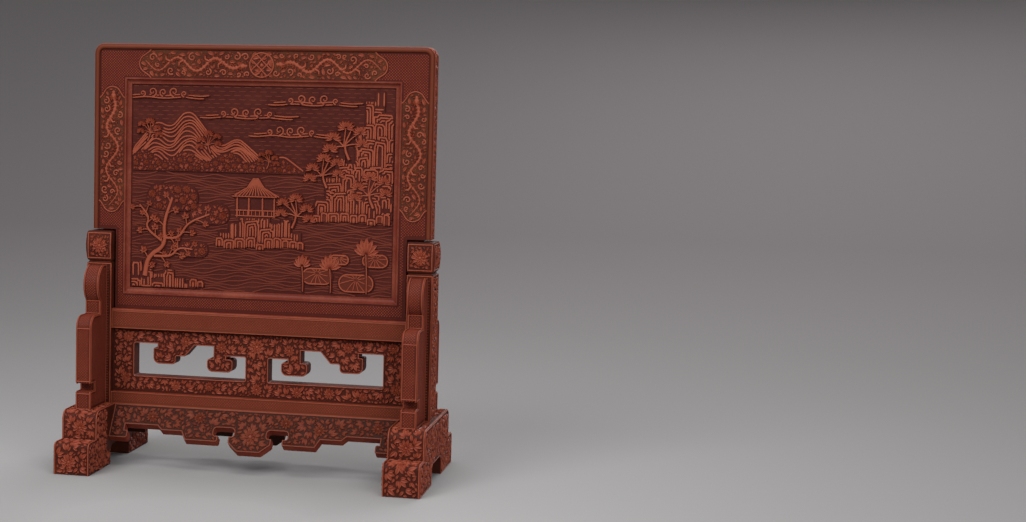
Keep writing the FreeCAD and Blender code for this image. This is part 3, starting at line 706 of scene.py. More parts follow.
@dataclass
class Relief:
    """Carving that is gathered shape by shape into one mesh."""

    points: list[Array] = field(default_factory=list)
    faces: list[tuple[int, ...]] = field(default_factory=list)
    shades: list[Array] = field(default_factory=list)
    count: int = 0

    def add(self, points: Array, faces: Iterable[tuple[int, ...]], shade: Array) -> None:
        """Add a shape that is already in place.

        Args:
            points: its points, in mm.
            faces: its faces, as numbers of its own points.
            shade: its relief shade at each point.
        """
        base = self.count
        self.points.append(points)
        self.shades.append(shade)
        self.faces.extend(tuple(base + k for k in face) for face in faces)
        self.count += len(points)


@dataclass(frozen=True)
class CadFace:
    """Flat face of a CAD piece: its plane and its outlines, the material always to their left."""

    plane: Plane
    loops: list[Array]

    SMALLEST = 80.0  # mm2, smaller outlines are peg holes

    @classmethod
    def of(cls, node: bpy.types.Object, normal: Point, rank: int = 0) -> CadFace:
        """Largest face of a piece that looks along a normal.

        Args:
            node: CAD piece.
            normal: direction that the face looks along.
            rank: 0 for the level with the most area, 1 for the next one.

        Returns:
            The face.
        """
        mesh = node.data
        n = unit(np.asarray(normal, float))
        mesh.calc_loop_triangles()
        points = np.array([v.co for v in mesh.vertices], float) / MM
        corners = points[np.array([t.vertices for t in mesh.loop_triangles])]
        turned = np.cross(corners[:, 1] - corners[:, 0], corners[:, 2] - corners[:, 0])
        size = np.linalg.norm(turned, axis=1)
        facing = (turned @ n) > 0.9995 * size
        heights = np.round(corners.mean(axis=1) @ n, 1)
        levels = {h: size[facing & (heights == h)].sum() for h in set(heights[facing])}
        level = sorted(levels, key=levels.get)[-1 - rank]
        chosen = corners[facing & (heights == level)]
        plane = Plane.facing(n, float((chosen @ n).mean()))
        edges = set()
        for triangle in np.round(np.stack([chosen @ plane.u, chosen @ plane.v], axis=-1), 2):
            ring = [tuple(p) for p in triangle]
            for a, b in zip(ring, ring[1:] + ring[:1]):
                if (b, a) in edges:
                    edges.remove((b, a))
                else:
                    edges.add((a, b))
        onward = dict(edges)
        loops = []
        while onward:
            start, here = onward.popitem()
            loop = [start]
            while here != start:
                loop.append(here)
                here = onward.pop(here)
            loops.append(straighten(np.array(loop)))
        return cls(plane, [loop for loop in loops if abs(loop_area(loop)) > cls.SMALLEST])

    @property
    def outer(self) -> Array:
        """The largest outline."""
        return max(self.loops, key=lambda loop: abs(loop_area(loop)))

    def way(self, start: Point, end: Point, via: Point) -> Array:
        """Part of the outer outline between two of its corners.

        Args:
            start: corner (u, v) where it starts.
            end: corner (u, v) where it ends.
            via: point that it passes closer to than the other way round does.

        Returns:
            Its points (u, v).
        """
        loop = self.outer
        count, a, b = len(loop), nearest(loop, start), nearest(loop, end)
        ahead = loop[[(a + k) % count for k in range((b - a) % count + 1)]]
        behind = loop[[(a - k) % count for k in range((a - b) % count + 1)]]
        return min(ahead, behind, key=lambda way: np.linalg.norm(way - np.asarray(via), axis=1).min())


class Ground:
    """Ground of a face that is still free for carving, as a grid of small cells."""

    def __init__(self, loops: Sequence[Array], margin: float = 0.0, keep_out: Sequence[Array] = ()) -> None:
        """Lay the grid out.

        Args:
            loops: outlines of the ground and of the holes in it.
            margin: strip along them that stays bare.
            keep_out: outlines of places that stay bare.
        """
        corners = np.vstack(loops)
        self.low = corners.min(axis=0) - CELL
        self.shape = tuple(np.ceil((corners.max(axis=0) - self.low) / CELL).astype(int) + 2)
        self.free = self.raster(loops)
        for _ in range(round(margin / CELL)):
            around = [np.roll(self.free, step, axis) for step in (-1, 1) for axis in (0, 1)]
            self.free = np.logical_and.reduce([self.free, *around])
        for outline in keep_out:
            self.claim(outline)

    def raster(self, loops: Sequence[Array]) -> Array:
        """Find the cells inside outlines, by the even-odd rule.

        Args:
            loops: the outlines.

        Returns:
            Mask of the cells.
        """
        mask = np.zeros(self.shape, bool)
        starts = np.vstack(loops)
        ends = np.vstack([np.roll(loop, -1, axis=0) for loop in loops])
        columns = self.low[0] + (np.arange(self.shape[0]) + 0.5) * CELL
        for j in range(self.shape[1]):
            cuts = crossings(starts, ends, self.low[1] + (j + 0.5) * CELL)
            mask[:, j] = np.searchsorted(cuts, columns) % 2 == 1
        return mask

    def claim(self, outline: Array) -> None:
        """Mark the inside of an outline as carved."""
        self.free &= ~self.raster([outline])

    def part(self, loop: Array) -> Ground:
        """Take the part of the ground inside an outline.

        Args:
            loop: the outline.

        Returns:
            A copy that is free only there.
        """
        inner = copy.copy(self)
        inner.free = self.free & self.raster([loop])
        return inner

    def cells(self, points: Array) -> tuple[Array, Array]:
        """Cells of points, held inside the grid."""
        at = np.floor((points - self.low) / CELL).astype(int)
        return np.clip(at[:, 0], 0, self.shape[0] - 1), np.clip(at[:, 1], 0, self.shape[1] - 1)

    def holds(self, points: Array) -> bool:
        """Whether all of the points lie on free ground."""
        return bool(self.free[self.cells(points)].all())

    def take(self, points: Array) -> None:
        """Mark the cells of points as carved."""
        self.free[self.cells(points)] = False

    def spots(self, rng: random.Random, count: int) -> Array:
        """Free points (u, v) in a mixed order.

        Args:
            rng: seeded source of chance.
            count: how many are wanted at most.

        Returns:
            The points.
        """
        open_cells = np.argwhere(self.free)
        order = list(range(len(open_cells)))
        rng.shuffle(order)
        return self.low + (open_cells[order[:count]] + 0.5) * CELL


@dataclass(frozen=True)
class LeafScroll:
    """Sizes of leaf scroll, in mm."""

    leaf: float = 11.0  # length of a full leaf
    flower: float = 9.0  # radius of a blossom, 0 for leaves alone
    spacing: float = 46.0  # least distance between blossoms
    height: float = 1.5  # height of a leaf
    flowers: Rows = ()  # place and radius of the blossoms that are wanted first


@dataclass
class Carving:
    """Carving on one face: motifs, the relief that takes it, the face, and the ground that is still free."""

    bench: MotifBench
    relief: Relief
    surface: Plane | Rolled
    ground: Ground | None = None

    # Half-round section of a carved line: part of its width, part of its height, shade
    SECTION = ((-0.5, 0.0, 0.0), (-0.34, 0.8, 0.8), (0.0, 1.0, 1.0), (0.34, 0.8, 0.8), (0.5, 0.0, 0.0))

    LEAF_TEST = np.array([(t, s * 0.5 * math.sin(math.pi * t ** 0.8)) for t in np.linspace(0.04, 0.97, 9)
                          for s in (-0.9, -0.45, 0.0, 0.45, 0.9)])
    LEAF_MARK = np.array([(t, s * (0.06 + 0.5 * math.sin(math.pi * min(1.0, max(0.0, t)) ** 0.8)))
                          for t in np.linspace(-0.03, 1.03, 17) for s in np.linspace(-1.0, 1.0, 9)])
    DISC = np.array([(r * math.cos(a), r * math.sin(a)) for r in np.linspace(0.0, 1.0, 9)
                     for a in np.linspace(0, 2 * math.pi, 24, endpoint=False)])
    BROAD = 1.08  # width of a scroll leaf, in widths of the modelled leaf
    # Turn and part of the length of each leaf in a fan
    SPRAY = ((0.0, 1.0), (0.6, 0.88), (-0.6, 0.88), (1.2, 0.7), (-1.2, 0.7))
    SINGLE = ((0.0, 1.0),)
    # Leaf scroll from large to small: part of the full length, mm2 of free ground to a try, fan
    ROUNDS = ((1.0, 9.0, SPRAY), (0.8, 6.0, SPRAY), (0.8, 4.0, SINGLE), (0.55, 2.5, SINGLE),
              (0.36, 1.5, SINGLE))
    # Petals of a blossom in parts of its radius: number, start, length, height, breadth
    PETALS = ((11, 0.3, 0.72, 0.62, 1.2), (8, 0.12, 0.52, 0.86, 1.3))

    def stamp(self, motif: Motif, places: Rows) -> None:
        """Copy a motif onto the face.

        Args:
            motif: the motif.
            places: one row for each copy: u, v, angle, length, width, height, lift.
        """
        if not len(places):
            return
        u, v, angle, length, width, height, lift = (column[:, None] for column in np.asarray(places, float).T)
        x, y, z = motif.points[:, 0] * length, motif.points[:, 1] * width, motif.points[:, 2]
        cos, sin = np.cos(angle), np.sin(angle)
        z = np.where(z < 0, z, z * height + lift)
        flat = np.stack([u + x * cos - y * sin, v + x * sin + y * cos, z], axis=-1)
        for points in self.surface.place(flat):
            self.relief.add(points, motif.faces, motif.shade)

    def sweep(self, path: Array | Rows, width: float | Array, height: float | Array,
              closed: bool = False, lift: float = 0.0, flat: float = 0.75) -> None:
        """Carve a half-round line along a path.

        Args:
            path: points (u, v) of its middle.
            width: its width, one value or one for each point.
            height: its height, one value or one for each point.
            closed: whether the path runs back to its start.
            lift: how far the whole line is raised.
            flat: height of its shoulders, as a part of its height.
        """
        path = np.asarray(path, float)
        keep = np.concatenate([[True], np.linalg.norm(np.diff(path, axis=0), axis=1) > 1e-4])
        width, height = (np.broadcast_to(np.asarray(size, float), len(path))[keep]
                         for size in (width, height))
        path = path[keep]
        size, count = len(self.SECTION), len(path)
        if count < 2:
            return
        after = unit(np.diff(np.vstack([path, path[:1]]), axis=0))
        before = np.roll(after, 1, axis=0)
        if not closed:
            after[-1], before[0] = before[-1], after[0]
        left = mitre(after, before)
        rings, shade = [], []
        for part, rise, tone in self.SECTION:
            z = np.full(count, -SINK) if rise == 0 else height * (flat if rise < 1 else 1.0) + lift
            rings.append(np.column_stack([path + left * (width * part)[:, None], z]))
            shade.append(np.full(count, tone))
        faces = []
        for i in range(count if closed else count - 1):
            a, b = i * size, (i + 1) % count * size
            faces += [(a + k, b + k, b + (k + 1) % size, a + (k + 1) % size) for k in range(size)]
        if not closed:
            faces += [tuple(range(size)), tuple(reversed(range((count - 1) * size, count * size)))]
        points = self.surface.place(np.stack(rings, axis=1).reshape(-1, 3))
        self.relief.add(points, faces, np.stack(shade, axis=1).reshape(-1))

    def slab(self, outline: Array, height: float, shade: float = 0.3, slope: float = 0.4) -> None:
        """Raise a flat island with sloping sides.

        Args:
            outline: its outline at the ground, turning left.
            height: its height.
            shade: relief shade of its top.
            slope: how far its top is set in.
        """
        count = len(outline)
        foot = np.column_stack([outline, np.full(count, -SINK)])
        top = np.column_stack([inset(outline, slope), np.full(count, height)])
        faces = [(i, (i + 1) % count, count + (i + 1) % count, count + i) for i in range(count)]
        faces += [tuple(range(count, 2 * count)), tuple(reversed(range(count)))]
        tones = np.concatenate([np.zeros(count), np.full(count, shade)])
        self.relief.add(self.surface.place(np.vstack([foot, top])), faces, tones)

    def use(self, spot: Array, radius: float) -> None:
        """Mark a round place on the ground as carved."""
        self.ground.take(spot + self.DISC * radius)

    def blossom(self, spot: Array, radius: float, height: float) -> None:
        """Carve a full blossom: two rings of petals round a boss.

        Args:
            spot: place of its middle.
            radius: its radius.
            height: height of its boss.
        """
        turn = self.bench.rng.random() * math.tau
        for count, start, length, part, broad in self.PETALS:
            rows = []
            for k in range(count):
                angle = turn + math.tau * (k + self.bench.rng.uniform(-0.12, 0.12)) / count
                size = radius * length * self.bench.rng.uniform(0.92, 1.04)
                root = spot + heading(angle) * radius * start
                rows.append((*root, angle, size, radius * length * broad, height * part, 0.0))
            self.stamp(self.bench.leaves[1], rows)
        self.stamp(self.bench.boss, [(*spot, turn, radius * 0.4, radius * 0.4, height, 0.0)])

    @classmethod
    def leaf_cells(cls, template: Array, root: Array, angle: float, length: float) -> Array:
        """Lay a template of points over a leaf.

        Args:
            template: the points, for a leaf of size 1.
            root: where the leaf grows from.
            angle: its direction.
            length: its length.

        Returns:
            The points (u, v).
        """
        cos, sin = math.cos(angle), math.sin(angle)
        width = length * cls.BROAD * MotifBench.LEAF_WIDTH
        return root + (template * (length, width)) @ np.array(((cos, sin), (-sin, cos)))

    def spray(self, spot: Array, angle: float, length: float, fan: Rows) -> list[tuple[Array, float, float]]:
        """Find room for a fan of leaves that grow from one spot.

        Args:
            spot: where they grow from.
            angle: direction of the middle leaf.
            length: length of the middle leaf.
            fan: turn and part of the length of each leaf.

        Returns:
            Root, angle and length of each leaf, none if less than half of the fan has room.
        """
        leaves = []
        for turn, part in fan:
            way, size = angle + turn, length * part
            root = spot + heading(way) * length * (0.12 if len(fan) > 1 else -0.5)
            if self.ground.holds(self.leaf_cells(self.LEAF_TEST, root, way, size)):
                leaves.append((root, way, size))
        if len(leaves) * 2 <= len(fan):
            return []
        for leaf in leaves:
            self.ground.take(self.leaf_cells(self.LEAF_MARK, *leaf))
        return leaves

    def heads(self, look: LeafScroll) -> list[tuple[float, float, float]]:
        """Carve the blossoms of a leaf scroll.

        Args:
            look: sizes of the scroll.

        Returns:
            Place of each blossom, and the way that leaves turn round it.
        """
        rng = self.bench.rng
        heads: list[tuple[float, float, float]] = []
        chance = [(*spot, look.flower) for spot in self.ground.spots(rng, 500)] if look.flower > 0 else []
        for u, v, size in [*look.flowers, *chance]:
            if any(math.hypot(u - h[0], v - h[1]) < look.spacing for h in heads):
                continue
            for radius in (size, 0.85 * size):
                if self.ground.holds(np.array((u, v)) + self.DISC * radius):
                    self.blossom(np.array((u, v)), radius, look.height * 1.5)
                    self.use(np.array((u, v)), radius + 0.3)
                    heads.append((u, v, rng.choice((-1.0, 1.0))))
                    break
        return heads

    def scroll(self, look: LeafScroll) -> None:
        """Fill the ground with blossoms and sprays of leaves that turn round them.

        Args:
            look: sizes of the scroll.
        """
        rng, heads = self.bench.rng, self.heads(look)
        rows: list[list[tuple[float, ...]]] = [[] for _ in self.bench.leaves]
        for part, share, fan in self.ROUNDS:
            for spot in self.ground.spots(rng, int(self.ground.free.sum() * CELL * CELL / share)):
                near = min(heads, key=lambda h: math.hypot(spot[0] - h[0], spot[1] - h[1]), default=None)
                if near:
                    base = math.atan2(spot[1] - near[1], spot[0] - near[0]) + near[2] * 0.7
                else:
                    base = rng.choice((0.6, -0.6, math.pi + 0.6, math.pi - 0.6))
                for turn in (0.0, 0.7, -0.7):
                    leaves = self.spray(spot, base + turn + rng.uniform(-0.25, 0.25),
                                        look.leaf * part * rng.uniform(0.88, 1.12), fan)
                    for root, angle, length in leaves:
                        kind = rng.randrange(len(rows))
                        rise = look.height * rng.uniform(0.75, 1.1) * (0.7 + 0.3 * part)
                        rows[kind].append((root[0], root[1], angle, length, length * self.BROAD, rise, 0.0))
                    if leaves:
                        break
        for motif, places in zip(self.bench.leaves, rows):
            self.stamp(motif, places)

    def diaper(self, pitch: float = 2.5, height: float = 0.35) -> None:
        """Cover the ground with a lattice of small lozenge studs.

        Args:
            pitch: distance between neighbouring studs.
            height: their height.
        """
        span = np.array(self.ground.shape) * CELL
        step = pitch / math.sqrt(2)
        corner = np.array([(-1, 0), (1, 0), (0, -1), (0, 1), (0, 0)]) * pitch * 0.45
        rows = []
        for j in range(int(span[1] / step) + 1):
            for i in range(int(span[0] / (2 * step)) + 1):
                spot = self.ground.low + np.array((2 * step * i + step * (j % 2), step * j))
                if self.ground.holds(spot + corner):
                    rows.append((spot[0], spot[1], math.pi / 4, pitch * 0.8, pitch * 0.8, height, 0.0))
        self.stamp(self.bench.stud, rows)

    def fill(self, look: LeafScroll | None) -> None:
        """Cover the ground with leaf scroll or with diaper.

        Args:
            look: sizes of the scroll, None for diaper.
        """
        if look:
            self.scroll(look)
        else:
            self.diaper()

    def curl(self, spot: Point, radius: float, start: float, spin: float, width: float, height: float,
             turns: float, lift: float = 0.0) -> None:
        """Carve a spiral curl that narrows to its middle.

        Args:
            spot: place of its middle.
            radius: its outer radius.
            start: angle where its tail is.
            spin: 1 or -1, the way it turns.
            width: width of its tail.
            height: its height.
            turns: how many times it goes round.
            lift: how far it is raised.
        """
        t = np.linspace(0, 1, max(10, int(18 * turns)))
        angle = start + spin * t * turns * math.tau
        r = radius * (1 - 0.86 * t)
        path = np.column_stack([spot[0] + r * np.cos(angle), spot[1] + r * np.sin(angle)])
        self.sweep(path, width * (1 - 0.35 * t), height * (0.85 + 0.3 * t), lift=lift)


@dataclass
class Workshop:
    """What every sub-assembly works with: the CAD pieces, the motifs and the finishes."""

    nodes: dict[str, bpy.types.Object]
    bench: MotifBench
    materials: dict[Finish, Material]

    INNER = 0.42  # a bead's middle lies this part of its width inside the edge
    GAP = 0.5  # mm between a bead and the ornament
    BEAD_HEIGHT = 1.1

    def dress(self, names: Iterable[str], finish: Finish) -> None:
        """Give CAD pieces a finish.

        Args:
            names: their nodes.
            finish: the finish.
        """
        for name in names:
            materials = self.nodes[name].data.materials
            materials.clear()
            materials.append(self.materials[finish])
            LOG.info("%s: %s", name, finish.value.name)

    def box(self, name: str) -> tuple[Array, Array]:
        """Lowest and highest corner of a CAD piece, in mm."""
        low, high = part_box(name)
        return np.array(low) / MM, np.array(high) / MM

    def face(self, name: str, normal: Point, rank: int = 0) -> CadFace:
        """Largest face of a CAD piece that looks along a normal, or the next one by rank."""
        return CadFace.of(self.nodes[name], normal, rank)

    def carve_face(self, relief: Relief, face: CadFace, bead: float, look: LeafScroll | None = None,
                   bead_height: float = BEAD_HEIGHT, keep_out: Sequence[Array] = (),
                   edged: bool = True) -> None:
        """Carve a flat CAD face: a bead along its outlines and ornament between them.

        Args:
            relief: carving that it joins.
            face: the face.
            bead: width of the bead, 0 for none.
            look: sizes of its leaf scroll, None for diaper.
            bead_height: height of the bead.
            keep_out: outlines of places that stay bare.
            edged: whether the outer outline gets the bead too, and not only the openings.
        """
        carving = Carving(self.bench, relief, face.plane, Ground(face.loops, bead + self.GAP, keep_out))
        for loop in face.loops:
            if bead > 0 and (edged or loop_area(loop) < 0):
                carving.sweep(inset(loop, bead * self.INNER), bead, bead_height, closed=True)
        carving.fill(look)

    def carve_strip(self, relief: Relief, surface: Rolled, width: float, bead: float,
                    look: LeafScroll | None = None, keep_out: Sequence[Array] = ()) -> None:
        """Carve a rolled face: a bead along its two long edges and ornament between them.

        Args:
            relief: carving that it joins.
            surface: the face.
            width: its width.
            bead: width of the beads.
            look: sizes of its leaf scroll, None for diaper.
            keep_out: outlines of places that stay bare.
        """
        rows = surface.stations
        between = rectangle(bead + self.GAP, 0.8, width - bead - self.GAP, surface.length - 0.8)
        carving = Carving(self.bench, relief, surface, Ground([between], 0.0, keep_out))
        for u in (bead * self.INNER, width - bead * self.INNER):
            carving.sweep(np.column_stack([np.full(len(rows), u), rows]), bead, self.BEAD_HEIGHT)
        carving.fill(look)

    def deliver(self, relief: Relief, name: str, body: Body, finish: Finish = Finish.CARVED,
                slot: Slot = Slot.CARVED, sharp_deg: float = 38.0) -> None:
        """Make gathered carving one piece.

        Args:
            relief: the carving.
            name: name of the piece.
            body: body that it rides on.
            finish: its finish.
            slot: material slot of the record that its finish stands for; not used.
            sharp_deg: edges sharper than this stay crisp.
        """
        mesh = bpy.data.meshes.new(name)
        mesh.from_pydata((np.vstack(relief.points) * MM).tolist(), [], relief.faces)
        shade = mesh.attributes.new(RELIEF, "FLOAT", "POINT")
        shade.data.foreach_set("value", np.concatenate(relief.shades).astype(np.float32))
        mesh.materials.append(self.materials[finish])
        obj = bpy.data.objects.new(name, mesh)
        bpy.context.scene.collection.objects.link(obj)
        bpy.ops.object.select_all(action="DESELECT")
        obj.select_set(True)
        bpy.context.view_layer.objects.active = obj
        bpy.ops.object.shade_smooth_by_angle(angle=math.radians(sharp_deg))
        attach(obj, body.value)
        LOG.info("%s: %d faces on %s", name, len(relief.faces), body.value)


@dataclass
class Foot:
    """One foot of the stand, carved with leaf scroll on all its faces."""

    shop: Workshop
    side: Side
    leaf: float = 12.0
    flower: float = 11.0
    bead: float = 1.8
    end_flower: float = 15.0  # blossoms on the high block lie this far from its ends
    by_apron: float = 2.0  # bare strip round an apron's end
    by_post: float = 1.0  # bare strip round what stands on the high block

    def build(self) -> None:
        """Carve the foot."""
        shop, side = self.shop, self.side.word
        name = f"{side}_foot"
        shop.dress([name], Finish.CUT)
        relief, outward = Relief(), RIGHT * self.side.value
        low, high = shop.box(name)
        width = high[0] - low[0]
        look = LeafScroll(self.leaf, self.flower)
        shop.carve_face(relief, shop.face(name, outward), self.bead, look)
        a, b = shop.box("front_apron")
        strip = self.by_apron
        behind = [rectangle(u0 - strip, a[2] - strip, u1 + strip, high[2] + strip)
                  for u0, u1 in ((-b[1], -a[1]), (a[1], b[1]))]
        shop.carve_face(relief, shop.face(name, -outward), 0.0, look, keep_out=behind)
        profile = shop.face(name, RIGHT)
        end, instep, level = self.steps(profile.outer)
        toes = (profile.way((-end, 0), (-instep, level), (-end, level * 0.8)),
                profile.way((instep, level), (end, 0), (end, level * 0.8)))
        for way in toes:
            shop.carve_strip(relief, Rolled.over(way, low[0]), width, self.bead, look)
        way = profile.way((-instep, level), (instep, level), (-instep, 0.85 * high[2]))
        top = Rolled.over(way, low[0])
        flowers = [(width / 2, v, self.flower) for v in (self.end_flower, top.length - self.end_flower)]
        covered = []
        for node in (f"front_{side}_spandrel", f"rear_{side}_spandrel", f"{side}_post", "lower_rail"):
            a, b = shop.box(node)
            v0, v1 = (top.station_of((low[0], y, high[2])) for y in (a[1], b[1]))
            strip, u0, u1 = self.by_post, a[0] - low[0], b[0] - low[0]
            covered.append(rectangle(u0 - strip, v0 - strip, u1 + strip, v1 + strip))
        shop.carve_strip(relief, top, width, self.bead, replace(look, flowers=flowers), covered)
        shop.deliver(relief, f"{name}_carving", Body.STAND)

    @staticmethod
    def steps(loop: Array) -> tuple[float, float, float]:
        """Measure the steps of the foot.

        Args:
            loop: its outline from the side.

        Returns:
            Half its length, half the length of its high block, and the height of its toes.
        """
        end, high = loop.max(axis=0)
        away, level = np.abs(loop[:, 0]), loop[:, 1]
        middle = loop[(level > 0.3 * high) & (level < 0.7 * high) & (away > 0.5 * end)]
        inner = middle[np.argmin(np.abs(middle[:, 0]))]
        return float(end), float(abs(inner[0])), float(inner[1])


@dataclass
class Post:
    """One post: diaper beside the spandrels, leaf scroll on the outer side, a blossom on each finial face."""

    shop: Workshop
    side: Side
    bead: float = 1.8
    neck: float = 4.0  # flat shaft to the foot of the finial
    blossom: float = 11.5

    def build(self) -> None:
        """Carve the post."""
        shop, name = self.shop, f"{self.side.word}_post"
        shop.dress([name], Finish.CUT)
        relief = Relief()
        a, b = shop.box(f"front_{self.side.word}_spandrel")
        for place in Place:
            edges = sorted((a[0] * -place.value, b[0] * -place.value))
            behind = rectangle(edges[0] - 0.5, 0, edges[1] + 0.5, b[2])
            shop.carve_face(relief, shop.face(name, BACK * place.value), self.bead, keep_out=[behind])
        outer = shop.face(name, RIGHT * self.side.value)
        shop.carve_face(relief, outer, self.bead, LeafScroll(leaf=9.5, flower=9.0, spacing=50.0))
        self.carve_finial(relief, name)
        shop.deliver(relief, f"{name}_carving", Body.STAND)

    def carve_finial(self, relief: Relief, name: str) -> None:
        """Carve a framed blossom on the bowed faces of the finial.

        Args:
            relief: carving that it joins.
            name: node of the post.
        """
        high = self.shop.box(name)[1]
        face = self.shop.face(name, -BACK)
        x0, x1 = face.outer[:, 0].min(), face.outer[:, 0].max()
        y = -face.plane.origin[1]
        base = face.outer[:, 1].max() + self.neck
        t = np.linspace(0.04, 0.95, 15)
        bow = (high[1] - y) * (1 - (2 * t - 1) ** 2)
        z = base + (high[2] - base) * t
        level, sign = np.ones(len(t)), self.side.value
        front = np.column_stack([level * x0, -y - bow, z])
        rear = np.column_stack([level * x0, y + bow, z])[::-1]
        outer = np.column_stack([max(abs(x0), abs(x1)) * sign + sign * bow, level * -sign * y, z])
        faces = ((front, RIGHT, x1 - x0), (rear, RIGHT, x1 - x0), (outer, BACK * sign, 2 * y))
        for points, across, width in faces:
            surface = Rolled.along(points, across)
            frame = rectangle(1.2, 0.8, width - 1.2, surface.length - 0.8)
            carving = Carving(self.shop.bench, relief, surface, Ground([frame], 2.0))
            carving.sweep(divided_loop(frame, 2.0), 1.9, 1.0, closed=True)
            middle = (width / 2, surface.length / 2, self.blossom)
            look = LeafScroll(leaf=7.5, flower=self.blossom, spacing=60.0, height=1.4, flowers=(middle,))
            carving.scroll(look)


@dataclass
class Spandrel:
    """One lobed buttress before or behind a post, covered with diaper between raised edges."""

    shop: Workshop
    side: Side
    place: Place
    bead: float = 1.6
    framed: float = 14.0  # upright faces longer than this are framed

    def build(self) -> None:
        """Carve the spandrel."""
        shop, name = self.shop, f"{self.place.word}_{self.side.word}_spandrel"
        shop.dress([name], Finish.DIAPERED)
        relief = Relief()
        for normal in (RIGHT, -RIGHT):
            shop.carve_face(relief, shop.face(name, normal), self.bead)
        low, high = shop.box(name)
        way = self.outer_edge(shop.face(name, RIGHT), low, high)
        surface = Rolled.over(way, low[0])
        width = high[0] - low[0]
        shop.carve_strip(relief, surface, width, self.bead)
        bands = Carving(shop.bench, relief, surface)
        for start, end in zip(way[:-1], way[1:]):
            if abs(end[0] - start[0]) < 0.5 and abs(end[1] - start[1]) > self.framed:
                for point, inward in ((start, end), (end, start)):
                    edge = point + unit(inward - point) * self.bead * 0.6
                    v = surface.station_of((low[0], *edge))
                    bands.sweep([(0.6, v), (width - 0.6, v)], self.bead, shop.BEAD_HEIGHT)
        shop.deliver(relief, f"{name}_carving", Body.STAND)

    def outer_edge(self, profile: CadFace, low: Array, high: Array) -> Array:
        """Lobed edge of the side face, in the order that turns its outside outwards.

        Args:
            profile: side face.
            low: lowest corner of the spandrel.
            high: highest corner of the spandrel.

        Returns:
            Its points (y, z).
        """
        loop = profile.outer
        front = self.place is Place.FRONT
        edge = low[1] if front else high[1]
        foot = loop[np.argmin(np.abs(loop[:, 0] - edge) + np.abs(loop[:, 1] - low[2]))]
        tips = loop[loop[:, 1] > high[2] - 0.5]
        tip = tips[np.argmax(tips[:, 0] * self.place.value)]
        via = (edge, (low[2] + high[2]) / 2)
        return profile.way(foot, tip, via) if front else profile.way(tip, foot, via)


@dataclass
class Rails:
    """The seat rail and the lower rail, diapered between raised edges."""

    shop: Workshop
    bead: float = 1.4
    bead_height: float = 0.6

    def build(self) -> None:
        """Carve both rails."""
        for name in ("seat_rail", "lower_rail"):
            self.shop.dress([name], Finish.RAIL)
            relief = Relief()
            for normal in (-BACK, BACK):
                face = self.shop.face(name, normal)
                self.shop.carve_face(relief, face, self.bead, bead_height=self.bead_height)
            self.shop.deliver(relief, f"{name}_carving", Body.STAND)


@dataclass
class OpenworkBoard:
    """The pierced board between the rails, with leaf scroll on both faces and a line round each opening."""

    shop: Workshop
    bead: float = 1.6
    leaf: float = 10.5
    flower: float = 8.0
    spacing: float = 40.0
    flowers: Rows = (
        (0.0, 158.0, 11.5), (-104.0, 147.0, 11.0), (104.0, 147.0, 11.0), (0.0, 103.0, 8.5))

    def build(self) -> None:
        """Carve both faces of the board."""
        self.shop.dress(["openwork_board"], Finish.PIERCED)
        for place in Place:
            relief = Relief()
            face = self.shop.face("openwork_board", BACK * place.value)
            look = LeafScroll(self.leaf, self.flower, self.spacing, flowers=self.flowers)
            self.shop.carve_face(relief, face, self.bead, look, edged=False)
            self.shop.deliver(relief, f"openwork_{place.word}_carving", Body.STAND)


@dataclass
class Apron:
    """One slanted apron, with leaf scroll above its scalloped edge."""

    shop: Workshop
    place: Place
    bead: float = 2.0
    leaf: float = 11.0
    flower: float = 9.0
    spacing: float = 44.0
    # Place and radius of the large blossoms, the heights counted from the lowest edge
    flowers: Rows = ((0.0, 22.0, 14.0), (-82.0, 26.0, 11.5), (82.0, 26.0, 11.5))

    def build(self) -> None:
        """Carve the face of the apron."""
        name = f"{self.place.word}_apron"
        self.shop.dress([name], Finish.FRONT_APRON if self.place is Place.FRONT else Finish.REAR_APRON)
        face = self.shop.face(name, slant(self.place))
        relief, edge = Relief(), float(face.outer[:, 1].min())
        flowers = [(u, edge + v, size) for u, v, size in self.flowers]
        look = LeafScroll(self.leaf, self.flower, self.spacing, flowers=flowers)
        self.shop.carve_face(relief, face, self.bead, look)
        self.shop.deliver(relief, f"{name}_carving", Body.STAND, Finish.SHADED)


